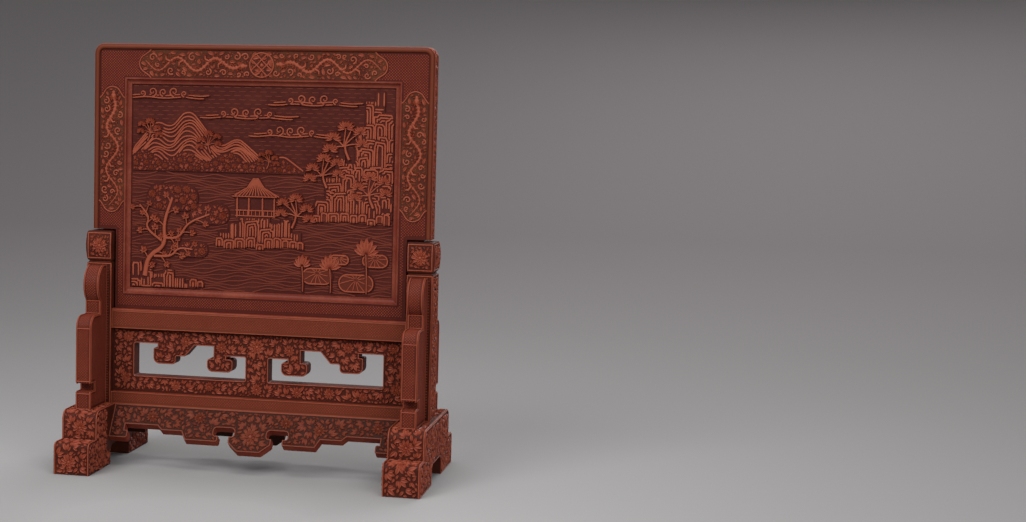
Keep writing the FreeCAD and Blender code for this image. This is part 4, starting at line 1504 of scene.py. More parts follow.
@dataclass
class Dragon(Carving):
    """A running dragon: a swaying body of scales with fins, four legs and a maned head."""

    wave: float = 56.0  # length of one sway
    points: int = 90

    LEGS = ((18, 1), (30, -1), (54, 1), (66, -1))  # point of the body, and the side that the leg grows from

    def carve(self, head: Point, tail: Point, half: float) -> None:
        """Carve the dragon, and use up the ground under it.

        Args:
            head: place of its head.
            tail: place of its tail.
            half: half the width of the field that it sways in.
        """
        along = np.array(tail) - np.array(head)
        length = float(np.linalg.norm(along))
        ahead = along / length
        side = np.array((-ahead[1], ahead[0]))
        t = np.linspace(0, 1, self.points)
        waves = max(1.5, round(length / self.wave * 2) / 2)
        sway = half * 0.46 * np.sin(t * waves * math.tau + 0.5) * np.minimum(1.0, 0.35 + 2.2 * t)
        path = np.array(head) + ahead * (t * length)[:, None] + side * sway[:, None]
        width = 5.2 * (1 - t) ** 0.7 + 1.8
        height = 1.3 + 0.6 * (1 - t)
        self.sweep(path, width * 0.6, height * 0.4)
        step = np.gradient(path, axis=0)
        turn = np.arctan2(step[:, 1], step[:, 0])
        aside = np.column_stack([-np.sin(turn), np.cos(turn)])
        fins = []
        for i in range(4, self.points - 2, 3):
            for hand in (-1, 1):
                root = path[i] + aside[i] * hand * width[i] * 0.36
                fins.append((*root, turn[i] + hand * 0.7, 3.4 + width[i] * 0.4, 3.4, 1.4, 0.0))
        self.stamp(self.bench.leaves[1], fins)
        scales = [(*path[i], turn[i], 4.0, width[i], height[i], 0.0) for i in range(2, self.points - 2, 3)]
        self.stamp(self.bench.boss, scales)
        for point, size in zip(path, width):
            self.use(point, size * 0.5 + 0.9)
        self.use(path[0] - ahead * 2.0, 6.0)
        self.carve_head(path[0], -ahead)
        for at, hand in self.LEGS:
            self.carve_leg(path[at], turn[at], hand)

    def carve_head(self, at: Array, ahead: Array) -> None:
        """Carve the head with horns, whiskers and mane.

        Args:
            at: place of the head.
            ahead: direction that it looks in.
        """
        face = math.atan2(ahead[1], ahead[0])
        snout = at + ahead * 4.4
        self.stamp(self.bench.boss, [(*at, face, 9.0, 7.5, 2.8, 0.0), (*snout, face, 6.0, 4.8, 2.2, 0.0)])
        tufts = [(*at, face + math.pi + hand * turn, length, 4.6, 1.8, 0.0)
                 for hand in (-1, 1) for turn, length in ((0.55, 9.5), (1.0, 8.0), (1.45, 7.0))]
        tufts += [(*snout, face + hand * 1.4, 6.5, 3.4, 1.5, 0.0) for hand in (-1, 1)]
        self.stamp(self.bench.leaves[3], tufts)

    def carve_leg(self, at: Array, turn: float, hand: int) -> None:
        """Carve a bent leg with spread claws.

        Args:
            at: place on the body where it starts.
            turn: direction of the body there.
            hand: 1 or -1, side that it grows from.
        """
        knee = at + heading(turn + hand * 1.2) * 6.0
        shin = turn + hand * 2.2
        foot = knee + heading(shin) * 4.0
        self.sweep([at, knee, foot], np.array((3.6, 2.8, 2.0)), 1.7)
        claws = [(*foot, shin + spread, 3.6, 3.4, 1.5, 0.0) for spread in (-0.9, 0.0, 0.9)]
        self.stamp(self.bench.leaves[1], claws)
        self.use(knee, 2.6)
        self.use(foot, 3.8)


@dataclass
class PanelFrame:
    """The panel's frame: a smooth rounded rim, diaper and cartouches in front, leaf scroll behind."""

    shop: Workshop
    rim: float = 6.0
    rim_height: float = 2.2
    corner_radius: float = 12.0
    top_reach: float = 161.0  # middle of the frame to the tip of the top cartouche
    side_low: float = 325.0
    side_high: float = 486.0
    rear_side_dragon: tuple[float, float] = (440.0, 340.0)  # heights of head and tail
    rear_top_dragon: tuple[float, float] = (60.0, 150.0)  # distances of head and tail from the middle
    rear_half: float = 13.0
    roundel: float = 16.5
    line: float = 2.0

    MEMBERS = ("frame_left_stile", "frame_right_stile", "frame_top_rail", "frame_bottom_rail")
    HIDDEN = ("frame_corner_keys", "frame_tenon_pegs", "core_board", "rail_pegs", "foot_pegs",
              "spandrel_dowels")

    def build(self) -> None:
        """Dress and carve the frame."""
        edges = ("top", "bottom", "left", "right")
        beads = [f"{place.word}_bead_{edge}" for place in Place for edge in edges]
        self.shop.dress(self.MEMBERS, Finish.FRAME)
        self.shop.dress(beads, Finish.MOULDING)
        self.shop.dress(self.HIDDEN, Finish.WOOD)
        self.carve_rim()
        self.carve_front()
        self.carve_rear()

    def silhouette(self) -> Array:
        """Trace the panel above its shoulders.

        Returns:
            Its outline (x, z), from the left shoulder over the top to the right one.
        """
        half, top = self.shop.box("frame_right_stile")[1][0], self.shop.box("frame_top_rail")[1][2]
        shoulder = self.shop.face("frame_right_stile", -UP).plane.origin[2]
        turn = np.linspace(0, math.pi / 2, 9)
        bend = self.corner_radius
        corner = np.column_stack([half - bend + bend * np.cos(turn), top - bend + bend * np.sin(turn)])
        right = np.vstack([[(half, shoulder)], corner])
        return np.vstack([right, right[::-1] * (-1, 1)])[::-1]

    def carve_rim(self) -> None:
        """Turn the flat CAD rim into a rounded one on both faces, and carve the outer edge."""
        outline = self.silhouette()
        face_y = self.shop.box("frame_top_rail")[1][1]
        ahead = unit(np.vstack([np.diff(outline, axis=0), outline[-1:] - outline[-2:-1]]))
        inside = outline + mitre(ahead, np.vstack([ahead[:1], ahead[:-1]])) * -self.rim * 0.48
        relief, edge = Relief(), Relief()
        for place in Place:
            carving = Carving(self.shop.bench, relief, Plane.facing(BACK * place.value, face_y))
            carving.sweep(inside * (-place.value, 1), self.rim, self.rim_height)
        self.shop.deliver(relief, "frame_rim", Body.SCREEN, Finish.RIM, Slot.SMOOTH, 60.0)
        points = np.column_stack([outline[:, 0], np.full(len(outline), face_y), outline[:, 1]])
        look = LeafScroll(leaf=9.0, flower=0.0, height=1.0)
        self.shop.carve_strip(edge, Rolled.along(points, -BACK), 2 * face_y, 2.4, look)
        self.shop.deliver(edge, "frame_edge_carving", Body.SCREEN)

    @staticmethod
    def cartouche(reach: float, half: float) -> Array:
        """Long field as wide as the frame's, closed at each end by a lobe between two ogees.

        Args:
            reach: its middle to the tips of its lobes.
            half: half its width.

        Returns:
            Its outline, turning left.
        """
        lobe = 0.68 * half
        turn = np.radians(np.linspace(0, 62, 8))
        arc = np.column_stack([reach - lobe + lobe * np.cos(turn), lobe * np.sin(turn)])
        flare = np.array([(reach - 0.52 * half, 0.7 * half), (reach - 0.72 * half, 0.84 * half),
                          (reach - 0.86 * half, half)])
        upper = np.vstack([arc, flare])
        right = np.vstack([upper[::-1] * (1, -1), upper[1:]])
        return np.vstack([right, right[::-1] * (-1, 1)])

    def carve_front(self) -> None:
        """Carve the front: cartouches with running dragons, and a diapered ground between them."""
        shop, bench, fill = self.shop, self.shop.bench, Relief()
        low, high = shop.box("frame_top_rail")
        sight, edge = shop.box("picture_board")[1][0], shop.box("frame_right_stile")[1][0] - self.rim
        rail_v, rail_half = (low[2] + high[2] - self.rim) / 2, (high[2] - self.rim - low[2]) / 2
        stile_u, stile_half = (sight + edge) / 2, (edge - sight) / 2
        reach, middle_v = (self.side_high - self.side_low) / 2, (self.side_high + self.side_low) / 2
        upright = self.cartouche(reach, stile_half)[:, ::-1] * (-1, 1)
        outlines = [self.cartouche(self.top_reach, rail_half) + (0, rail_v)]
        outlines += [upright + (sign * stile_u, middle_v) for sign in (-1, 1)]
        plane = shop.face("frame_top_rail", -BACK).plane
        loops = [loop for name in self.MEMBERS for loop in shop.face(name, -BACK).loops]
        lines = Carving(bench, Relief(), plane, Ground(loops, 0.6, [inset(loop, -0.9) for loop in outlines]))
        base = Carving(bench, Relief(), plane)
        for loop in outlines:
            half = len(loop) // 2
            for end in (loop[:half], loop[half:]):
                lines.sweep(end, self.line, 1.4)
            base.slab(inset(loop, 0.3), 0.2, 0.5, 0.1)
        lines.diaper()
        self.carve_roundel(lines, base, rail_v)
        grounds = [Ground([loop], 1.5) for loop in outlines]
        grounds[0].take(np.array((0.0, rail_v)) + Carving.DISC * (self.roundel + 1.0))
        for sign, ground in zip((-1, 1), grounds[1:]):
            start, end, u = sign * (self.roundel + 9.0), sign * (self.top_reach - 8.0), sign * stile_u
            Dragon(bench, fill, plane, grounds[0]).carve((start, rail_v), (end, rail_v), rail_half)
            head, tail = (u, self.side_high - 12.0), (u, self.side_low + 8.0)
            Dragon(bench, fill, plane, ground).carve(head, tail, stile_half)
        for ground in grounds:
            self.carve_clouds(Carving(bench, fill, plane, ground))
        shop.deliver(lines.relief, "frame_front_diaper", Body.SCREEN)
        shop.deliver(fill, "frame_front_dragons", Body.SCREEN)
        shop.deliver(base.relief, "frame_cartouche_ground", Body.SCREEN, Finish.OCHRE)

    def carve_roundel(self, lines: Carving, base: Carving, v: float) -> None:
        """Carve the round lattice in the middle of the top cartouche.

        Args:
            lines: where it is carved.
            base: where its ground is laid.
            v: height of its middle.
        """
        angle = np.linspace(0, math.tau, 48, endpoint=False)
        ring = np.column_stack([np.cos(angle), np.sin(angle)])
        base.slab(ring * self.roundel + (0, v), 0.4, 0.1)
        lines.sweep(ring * (self.roundel - 1.2) + (0, v), 2.4, 2.0, closed=True)
        for offset in (-4.6, 4.6):
            half = math.sqrt((self.roundel - 2.0) ** 2 - offset ** 2)
            for turn in (math.pi / 4, -math.pi / 4):
                along = heading(turn) * half
                middle = np.array((-math.sin(turn), math.cos(turn))) * offset + (0, v)
                lines.sweep([middle - along, middle + along], 2.2, 1.8)
        lines.stamp(lines.bench.boss, [(0.0, v, 0.0, 5.0, 5.0, 2.0, 0.0)])

    @staticmethod
    def carve_clouds(carving: Carving) -> None:
        """Fill what is left of a cartouche with cloud curls, flames and studs.

        Args:
            carving: the cartouche.
        """
        rng, ground = carving.bench.rng, carving.ground
        for least, most in ((5.0, 6.4), (3.9, 4.6)):
            for spot in ground.spots(rng, 1500):
                radius = rng.uniform(least, most)
                if ground.holds(spot + Carving.DISC * radius):
                    start, spin = rng.random() * math.tau, rng.choice((-1.0, 1.0))
                    carving.curl(spot, radius - 0.9, start, spin, 2.7, 1.6, 1.2)
                    carving.use(spot, radius + 0.1)
        carving.scroll(LeafScroll(leaf=12.0, flower=0.0, height=1.6))
        carving.diaper(2.3, 0.7)

    def carve_rear(self) -> None:
        """Carve the back of the frame with leaf scroll round four dragons."""
        relief, look = Relief(), LeafScroll(leaf=9.0, flower=8.0, spacing=42.0, height=1.3)
        for name in self.MEMBERS:
            face = self.shop.face(name, BACK)
            ground = Ground(face.loops, 0.7)
            u, v = (face.outer.min(axis=0) + face.outer.max(axis=0)) / 2
            ends = []
            if name.endswith("stile"):
                ends = [[(u, height) for height in self.rear_side_dragon]]
            elif name.endswith("top_rail"):
                ends = [[(sign * away, v) for away in self.rear_top_dragon] for sign in (-1, 1)]
            for head, tail in ends:
                Dragon(self.shop.bench, relief, face.plane, ground).carve(head, tail, self.rear_half)
            Carving(self.shop.bench, relief, face.plane, ground).scroll(look)
        self.shop.deliver(relief, "frame_rear_carving", Body.SCREEN)


class Form(Enum):
    """Landforms of the picture, which the board itself is raised to."""

    ROCKS = "rocks"
    HILLS = "hills"
    CROWN = "crown of a tree"
    LEAF = "lotus leaf"
    CLOUD = "cloud"
    ROOF = "roof"


@dataclass
class Scenery(Carving):
    """Draws on one level of the picture from front to back: what is drawn covers what comes later."""

    proud: float = 1.9  # how far trees and clouds are raised, to stand over the landforms

    def stroke(self, path: Array, width: float, height: float, lift: float = 0.0) -> None:
        """Carve the parts of a line that nothing covers.

        Args:
            path: points (u, v).
            width: its width.
            height: its height.
            lift: how far it is raised.
        """
        steps = stations(path)
        even = np.linspace(0, steps[-1], max(3, int(steps[-1] / 1.3)))
        fine = np.column_stack([np.interp(even, steps, path[:, k]) for k in range(2)])
        clear = self.ground.free[self.ground.cells(fine)]
        marks = np.flatnonzero(np.diff(np.concatenate([[False], clear, [False]]).astype(int)))
        for a, b in zip(marks[::2], marks[1::2]):
            if b - a >= 3:
                taper = np.minimum(1.0, 0.6 + 0.3 * np.minimum(np.arange(b - a), np.arange(b - a)[::-1]))
                self.sweep(fine[a:b], width * taper, height, lift=lift, flat=0.9)

    def edge(self, loop: Array, width: float, height: float) -> None:
        """Carve the visible parts of a line along the edge of a landform."""
        line = inset(loop, width * 0.55)
        self.stroke(np.vstack([line, line[:1]]), width, height)

    def block(self, foot: Array, width: float, height: float, slab: float = 0.0,
              spacing: float = 3.5) -> None:
        """Carve an upright block of rock with nested contours that are open below.

        Args:
            foot: middle of its foot.
            width: its width.
            height: its height.
            slab: height of a slab that carries it, 0 where it lies on a landform.
            spacing: distance between its contours.
        """
        rng, half = self.bench.rng, width / 2
        notch = rng.uniform(0.55, 0.9)
        arch = np.array([(1.0, 0.0), (1.0, 0.86), (notch, 0.88), (notch - 0.04, 1.0), (-0.86, 0.97),
                         (-1.0, 0.86), (-1.0, 0.0)])
        arch[1:-1] += np.array([(rng.uniform(-0.07, 0.07), rng.uniform(-0.04, 0.04)) for _ in arch[1:-1]])
        arch = arch * (rng.choice((-1, 1)) * half, height)
        outline = arch + foot
        if slab > 0:
            self.slab(outline if loop_area(outline) > 0 else outline[::-1], slab, 0.35)
        for k in range(max(1, round(half / spacing))):
            gone = (k + 0.42) * spacing
            self.stroke(arch * (max(0.0, 1 - gone / half), 1 - gone / height) + foot, 2.7, 1.4, slab)
        self.ground.claim(outline)

    def rocks(self, loop: Array) -> None:
        """Fill a rock face with upright blocks, the nearest row first.

        Args:
            loop: its outline.
        """
        low, high = loop.min(axis=0), loop.max(axis=0)
        rng = self.bench.rng
        for v in np.arange(low[1] - 3.0, high[1], 14.0):
            u = low[0] - rng.uniform(0.0, 12.0)
            while u < high[0]:
                width = rng.uniform(14.0, 27.0)
                foot = np.array((u + width / 2, v + rng.uniform(-6.0, 6.0)))
                self.block(foot, width, rng.uniform(15.0, 36.0))
                u += width * 0.96
        self.edge(loop, 2.4, 1.3)

    def scree(self, left: float, right: float, v: float) -> None:
        """Lay a row of small rocks along the water.

        Args:
            left: its left end.
            right: its right end.
            v: height of its foot.
        """
        rng, u = self.bench.rng, left
        while u < right - 8.0:
            width = min(rng.uniform(9.0, 16.0), right - u)
            foot = np.array((u + width / 2, v + rng.uniform(-2.0, 2.0)))
            self.block(foot, width, rng.uniform(8.0, 15.0), 2.0, 3.4)
            u += width * 0.98

    def hills(self, loop: Array, step: float = 3.9, wooded: float = 26.0) -> None:
        """Follow the crest of hills with lines below it, down to the woods at their foot.

        Args:
            loop: outline of the hills.
            step: distance between the lines.
            wooded: height of the woods.
        """
        low, high = loop.min(axis=0), loop.max(axis=0)
        crest = loop[loop[:, 1] > low[1] + 0.5]
        crest = crest[np.argsort(crest[:, 0])]
        spread = np.arange(low[0], high[0], 4.0)
        ridge = np.interp(spread, crest[:, 0], crest[:, 1])
        tops = low[1] + wooded * (0.75 + 0.25 * np.sin(spread / 9.0))
        wood = np.vstack([np.column_stack([spread, np.minimum(tops, ridge - 4.0)]), (high[0], low[1]), low])
        look = LeafScroll(leaf=6.0, flower=3.8, spacing=9.0, height=1.2)
        replace(self, ground=self.ground.part(wood)).scroll(look)
        self.ground.claim(wood)
        for k in range(int((high[1] - low[1]) / step)):
            ripple = np.sin(spread / 6.0 + k * 1.3) * min(1.5, k * 0.4)
            sag = k * step * (1 + 0.25 * np.sin(spread / 23.0))
            self.stroke(np.column_stack([spread, ridge + ripple - 1.6 - sag]), 2.5, 1.3)

    def crown(self, loop: Array) -> None:
        """Fill the crown of a flowering tree with blossoms and leaves."""
        look = LeafScroll(leaf=7.5, flower=5.4, spacing=12.0, height=1.4)
        replace(self, ground=self.ground.part(loop)).scroll(look)

    def leaf(self, loop: Array) -> None:
        """Carve the rim and the ribs of a lotus leaf.

        Args:
            loop: its outline.
        """
        middle = (loop.min(axis=0) + loop.max(axis=0)) / 2
        self.slab(inset(loop, 1.0), 0.2, 0.3)
        self.edge(loop, 2.4, 1.2)
        rim = divided_loop(loop, 1.0)
        heart = middle + (0.0, (loop[:, 1].max() - middle[1]) * 0.4)
        t = np.linspace(0.12, 0.9, 10)[:, None]
        for k in np.linspace(0, len(rim), 11, endpoint=False).astype(int):
            way = rim[k] - heart
            self.stroke(heart + way * t + np.array((way[1], -way[0])) * 0.12 * t * (1 - t), 1.4, 1.0)

    def cloud(self, loop: Array) -> None:
        """Carve a drifting cloud over an outline: curls over its middle and tails to both sides.

        Args:
            loop: the outline.
        """
        low, high = loop.min(axis=0), loop.max(axis=0)
        length, middle = high[0] - low[0], (low[1] + high[1]) / 2
        # Part of the length, radius and rise of each curl
        curls = ((0.1, 5.0, 0.6), (0.29, 7.2, 2.8), (0.5, 6.4, 2.0), (0.71, 7.4, 3.0), (0.91, 5.0, 0.6))
        for part, radius, rise in curls:
            spot = np.array((low[0] + part * length, middle + rise))
            spin = 1.0 if part < 0.5 else -1.0
            self.curl(spot, radius - 1.2, -math.pi / 2, spin, 2.6, 1.4, 1.3, self.proud)
            self.use(spot, radius)
        t = np.linspace(-0.3, 1.3, 60)
        for row, rise in enumerate((-4.4, -1.2)):
            sway = middle + rise + 0.8 * np.sin(t * 9.0 + row)
            self.stroke(np.column_stack([low[0] + (t + 0.1 * row) * length, sway]), 2.2, 1.2, self.proud)

    def roof(self, loop: Array) -> None:
        """Carve the tiled slopes of a roof.

        Args:
            loop: its outline.
        """
        low, high = loop.min(axis=0), loop.max(axis=0)
        middle, half = (low[0] + high[0]) / 2, (high[0] - low[0]) / 2
        for part in np.linspace(-0.88, 0.88, 13):
            line = [(middle + part * half, low[1]), (middle + part * half * 0.4, (low[1] + high[1]) / 2),
                    (middle + part * half * 0.13, high[1])]
            self.stroke(rounded(line), 2.2, 1.1)
        self.edge(loop, 2.0, 1.4)

    def bough(self, points: Array | Rows, start: float, end: float, height: float) -> None:
        """Carve a bending branch.

        Args:
            points: corners of its path.
            start: its width where it grows from.
            end: its width at its tip.
            height: its height.
        """
        path = rounded(points, 3)
        width = np.linspace(start, end, len(path))
        self.sweep(path, width, height, lift=self.proud)
        for point, size in zip(path, width):
            self.use(point, size * 0.5 + 0.6)

    def pine(self, root: Array, size: float, way: float) -> None:
        """Carve a leaning pine with flat fans of needles.

        Args:
            root: where it grows from.
            size: its height.
            way: 1 or -1, side that it leans to.
        """
        knee = root + np.array((way * 0.18, 0.42)) * size
        top = root + np.array((-way * 0.04, 0.9)) * size
        # Place and reach of each fan, in parts of the height
        fans = ((0.62, 0.3, 0.3), (-0.4, 0.48, 0.28), (0.52, 0.66, 0.3), (-0.34, 0.86, 0.28),
                (0.12, 1.0, 0.32))
        for u, v, reach in fans:
            spot, long = root + np.array((way * u, v)) * size, reach * size
            self.bough([knee, (knee + spot) / 2 + (0.0, 2.0), spot], 0.06 * size, 0.04 * size, 1.2)
            rows = [(*spot, turn, long * (0.7 + 0.3 * abs(math.cos(turn))), long * 0.8, 1.6, self.proud + 0.4)
                    for turn in np.linspace(-0.25, math.pi + 0.25, 9)]
            self.stamp(self.bench.leaves[2], rows)
            self.ground.take(spot + (0.0, long * 0.25) + self.DISC * (long, long * 0.75))
        self.bough([root, knee, top], 0.11 * size, 0.05 * size, 1.7)

    def tuft(self, spot: Array, angle: float, size: float) -> None:
        """Carve a spray of leaves at the end of a twig.

        Args:
            spot: end of the twig.
            angle: direction of the twig.
            size: length of a leaf.
        """
        rows = [(*spot, angle + turn, size * (1 - 0.2 * abs(turn)), size * 1.1, 1.5, self.proud)
                for turn in (-1.7, 1.7, -0.9, 0.9, 0.0)]
        self.stamp(self.bench.leaves[2], rows)
        self.use(spot + heading(angle) * size * 0.3, size)

    def lotus_flower(self, spot: Array, size: float, base: float) -> None:
        """Carve a lotus flower on its stalk.

        Args:
            spot: place of its cup.
            size: length of its petals.
            base: height where its stalk ends.
        """
        rows = []
        for turn in (-1.25, 1.25, -0.8, 0.8, -0.4, 0.4, 0.0):
            length, lift = size * (1 - 0.16 * abs(turn)), self.proud - abs(turn) * 0.5
            rows.append((*spot, math.pi / 2 + turn, length, size * 0.95, 1.6, lift))
        self.stamp(self.bench.leaves[1], rows)
        self.use(spot + (0.0, size * 0.45), size * 0.62)
        bend = 1.6 * np.sin(np.linspace(0, 2, 12))
        self.bough(np.column_stack([spot[0] + bend, np.linspace(spot[1], base, 12)]), 2.0, 1.8, 1.5)

    def pavilion(self, middle: float, half: float, floor: float, eaves: float) -> None:
        """Carve the posts and the railing of an open pavilion below its roof.

        Args:
            middle: its middle.
            half: half the length of its roof.
            floor: height of its floor.
            eaves: height of its eaves.
        """
        for u in middle + half * np.array((-0.76, -0.28, 0.28, 0.76)):
            self.stroke(np.array([(u, floor), (u, eaves)]), 2.8, 2.0)
        for v in (floor + 1.5, floor + 8.5):
            self.stroke(np.array([(middle - 0.84 * half, v), (middle + 0.84 * half, v)]), 2.0, 1.8)
        for u in middle + half * np.linspace(-0.66, 0.66, 9):
            self.stroke(np.array([(u, floor + 1.0), (u, floor + 9.0)]), 1.6, 1.5)
        self.ground.claim(rectangle(middle - 0.86 * half, floor, middle + 0.86 * half, eaves))

    def waves(self, low: Array, high: Array, step: float = 3.7) -> None:
        """Carve the water as rows of thin uneven waves.

        Args:
            low: lower left corner of the water.
            high: upper right corner of the water.
            step: distance between rows.
        """
        u = np.arange(low[0], high[0], 2.0)
        for k in range(int((high[1] - low[1]) / step)):
            swell = 1.5 * np.sin(u / 12 + k * 0.8) + np.sin(u / 5.7 - k * 1.3)
            swell = swell + 1.8 * np.sin(u / 33 + k * 0.3)
            bold = 0.3 * (k % 3 == 0)
            self.stroke(np.column_stack([u, low[1] + k * step + swell]), 1.7 + bold, 0.5 + bold)

    def air(self, low: Array, high: Array, step: float = 5.2, dash: float = 9.0) -> None:
        """Carve the sky as rows of short low lines, each row set off from the last.

        Args:
            low: lower left corner of the sky.
            high: upper right corner of the sky.
            step: distance between rows.
            dash: length of a line.
        """
        for k, v in enumerate(np.arange(low[1], high[1], step)):
            for u in np.arange(low[0] + 0.75 * dash * (k % 2), high[0], 1.5 * dash):
                self.stroke(np.array([(u, v), (u + dash, v)]), 1.3, 0.4)


@dataclass
class Picture:
    """The picture board: an invented landscape carved over the landforms that the board is raised to.

    Places are counted from the middle of the picture's lower edge.
    """

    shop: Workshop
    # A point inside each landform
    forms: Sequence[tuple[Form, float, float]] = (
        (Form.CROWN, -116.0, 118.0), (Form.CROWN, -66.0, 98.0), (Form.CROWN, -88.0, 52.0),
        (Form.LEAF, 76.0, 24.0), (Form.LEAF, 126.0, 17.0), (Form.LEAF, 150.0, 46.0), (Form.LEAF, 104.0, 46.0),
        (Form.ROCKS, -160.0, 12.0), (Form.ROCKS, 0.0, 74.0), (Form.ROOF, -6.0, 126.0),
        (Form.ROCKS, 150.0, 130.0), (Form.HILLS, -96.0, 190.0), (Form.CLOUD, -20.0, 226.0),
        (Form.CLOUD, 38.0, 204.0), (Form.CLOUD, 66.0, 244.0), (Form.CLOUD, -130.0, 250.0))
    # Trunk and boughs of the flowering tree: width at the start and at the end, then the way
    boughs: Sequence[Sequence[Any]] = (
        (4.5, 2.4, (-140.0, 42.0), (-116.0, 42.0), (-108.0, 54.0), (-88.0, 52.0)),
        (4.8, 2.4, (-126.0, 66.0), (-106.0, 66.0), (-96.0, 86.0), (-66.0, 98.0)),
        (4.0, 2.0, (-130.0, 62.0), (-152.0, 78.0), (-146.0, 92.0), (-160.0, 108.0)),
        (8.5, 4.0, (-152.0, 16.0), (-148.0, 42.0), (-124.0, 56.0), (-128.0, 84.0), (-116.0, 118.0)))
    # Place and size of each lotus flower
    flowers: Rows = ((92.0, 34.0, 20.0), (138.0, 54.0, 22.0), (56.0, 36.0, 16.0))
    # Root, height and lean of each pine
    pines: Rows = (
        (42.0, 84.0, 36.0, 1.0), (86.0, 136.0, 36.0, -1.0), (114.0, 172.0, 40.0, -1.0),
        (146.0, 112.0, 38.0, -1.0), (-150.0, 190.0, 24.0, 1.0), (-66.0, 176.0, 24.0, -1.0),
        (8.0, 158.0, 20.0, 1.0))
    # Left end, right end and height of each row of small rocks
    screes: Rows = ((-58.0, 58.0, 57.0), (66.0, 170.0, 93.0), (-92.0, -66.0, 2.5))
    # Middle, half the length of the roof, floor and eaves
    pavilion: tuple[float, float, float, float] = (-6.0, 32.0, 96.0, 122.0)
    water_top: float = 152.0

    def build(self) -> None:
        """Carve the landscape."""
        shop, bench = self.shop, self.shop.bench
        shop.dress(["picture_board"], Finish.PICTURE)
        low = np.array((shop.box("front_bead_left")[1][0], shop.box("front_bead_bottom")[1][2]))
        high = np.array((shop.box("front_bead_right")[0][0], shop.box("front_bead_top")[0][2]))
        base = np.array((0.0, low[1]))
        board, raised = (shop.face("picture_board", -BACK, rank) for rank in (0, 1))
        ground = Ground([rectangle(*low, *high)], 0.5)
        land = Scenery(bench, Relief(), board.plane, ground)
        self.carve_near(land, base)
        for form, u, v in self.forms:
            loop = next(loop for loop in raised.loops if encloses(loop, base + (u, v)))
            level = Scenery(bench, land.relief, raised.plane, ground.part(inset(loop, 0.5)))
            {Form.ROCKS: level.rocks, Form.HILLS: level.hills, Form.CROWN: level.crown, Form.LEAF: level.leaf,
             Form.CLOUD: land.cloud, Form.ROOF: level.roof}[form](loop)
            ground.claim(inset(loop, -0.8))
        middle, half, floor, eaves = self.pavilion
        land.pavilion(middle, half, floor + low[1], eaves + low[1])
        shop.deliver(land.relief, "picture_land", Body.SCREEN)
        water = Scenery(bench, Relief(), board.plane, ground)
        shore = low[1] + self.water_top
        water.waves(low + (0.0, 3.0), np.array((high[0], shore)))
        water.air(np.array((low[0], shore + 4.0)), high)
        shop.deliver(water.relief, "picture_water", Body.SCREEN, Finish.WATER)

    def carve_near(self, land: Scenery, base: Array) -> None:
        """Carve what stands in front of the landforms.

        Args:
            land: the picture's ground.
            base: middle of the picture's lower edge.
        """
        rng = land.bench.rng
        for u, v, size in self.flowers:
            land.lotus_flower(base + (u, v), size, base[1] + 4.0)
        for start, end, *way in self.boughs:
            path = rounded(np.array(way) + base)
            for k in range(3, len(path) - 1, 2):
                ahead = path[k] - path[k - 1]
                angle = math.atan2(ahead[1], ahead[0]) + (0.9 if k % 4 == 1 else -0.9)
                tip = path[k] + heading(angle) * rng.uniform(8.0, 13.0)
                land.tuft(tip, angle, rng.uniform(6.0, 8.0))
                land.bough([path[k], (path[k] + tip) / 2 + (0.0, 1.0), tip], 2.0, 1.4, 1.4)
            land.bough(np.array(way) + base, start, end, 1.6)
        for u, v, size, lean in self.pines:
            land.pine(base + (u, v), size, lean)
        for left, right, v in self.screes:
            land.scree(left, right, base[1] + v)


@dataclass
class BackFace:
    """The back board: rows of dark florets on worn gilt lacquer, with a bare corner."""

    shop: Workshop
    columns: int = 21
    rows: int = 17
    column_pitch: float = 16.1
    row_pitch: float = 15.3
    size: float = 12.6
    height: float = 0.7
    bare_columns: int = 2
    bare_rows: int = 5

    def build(self) -> None:
        """Dress the board and lay the florets out."""
        shop, bench = self.shop, self.shop.bench
        rng = bench.rng
        shop.dress(["back_board"], Finish.GILT)
        marks = Carving(bench, Relief(), shop.face("back_board", BACK).plane)
        middle_v = (shop.box("rear_bead_bottom")[1][2] + shop.box("rear_bead_top")[0][2]) / 2
        for j in range(self.rows):
            for i in range(self.columns):
                if i < self.bare_columns and j < self.bare_rows:
                    continue
                u = (i - (self.columns - 1) / 2) * self.column_pitch + rng.uniform(-0.4, 0.4)
                v = middle_v + (j - (self.rows - 1) / 2) * self.row_pitch + rng.uniform(-0.4, 0.4)
                size = self.size * rng.uniform(0.92, 1.04)
                motif = bench.florets[(i * 2 + j * 3 + i * j) % len(bench.florets)]
                marks.stamp(motif, [(u, v, rng.uniform(-0.06, 0.06), size, size, self.height, 0.0)])
        shop.deliver(marks.relief, "back_florets", Body.SCREEN, Finish.INLAY, Slot.GILT)


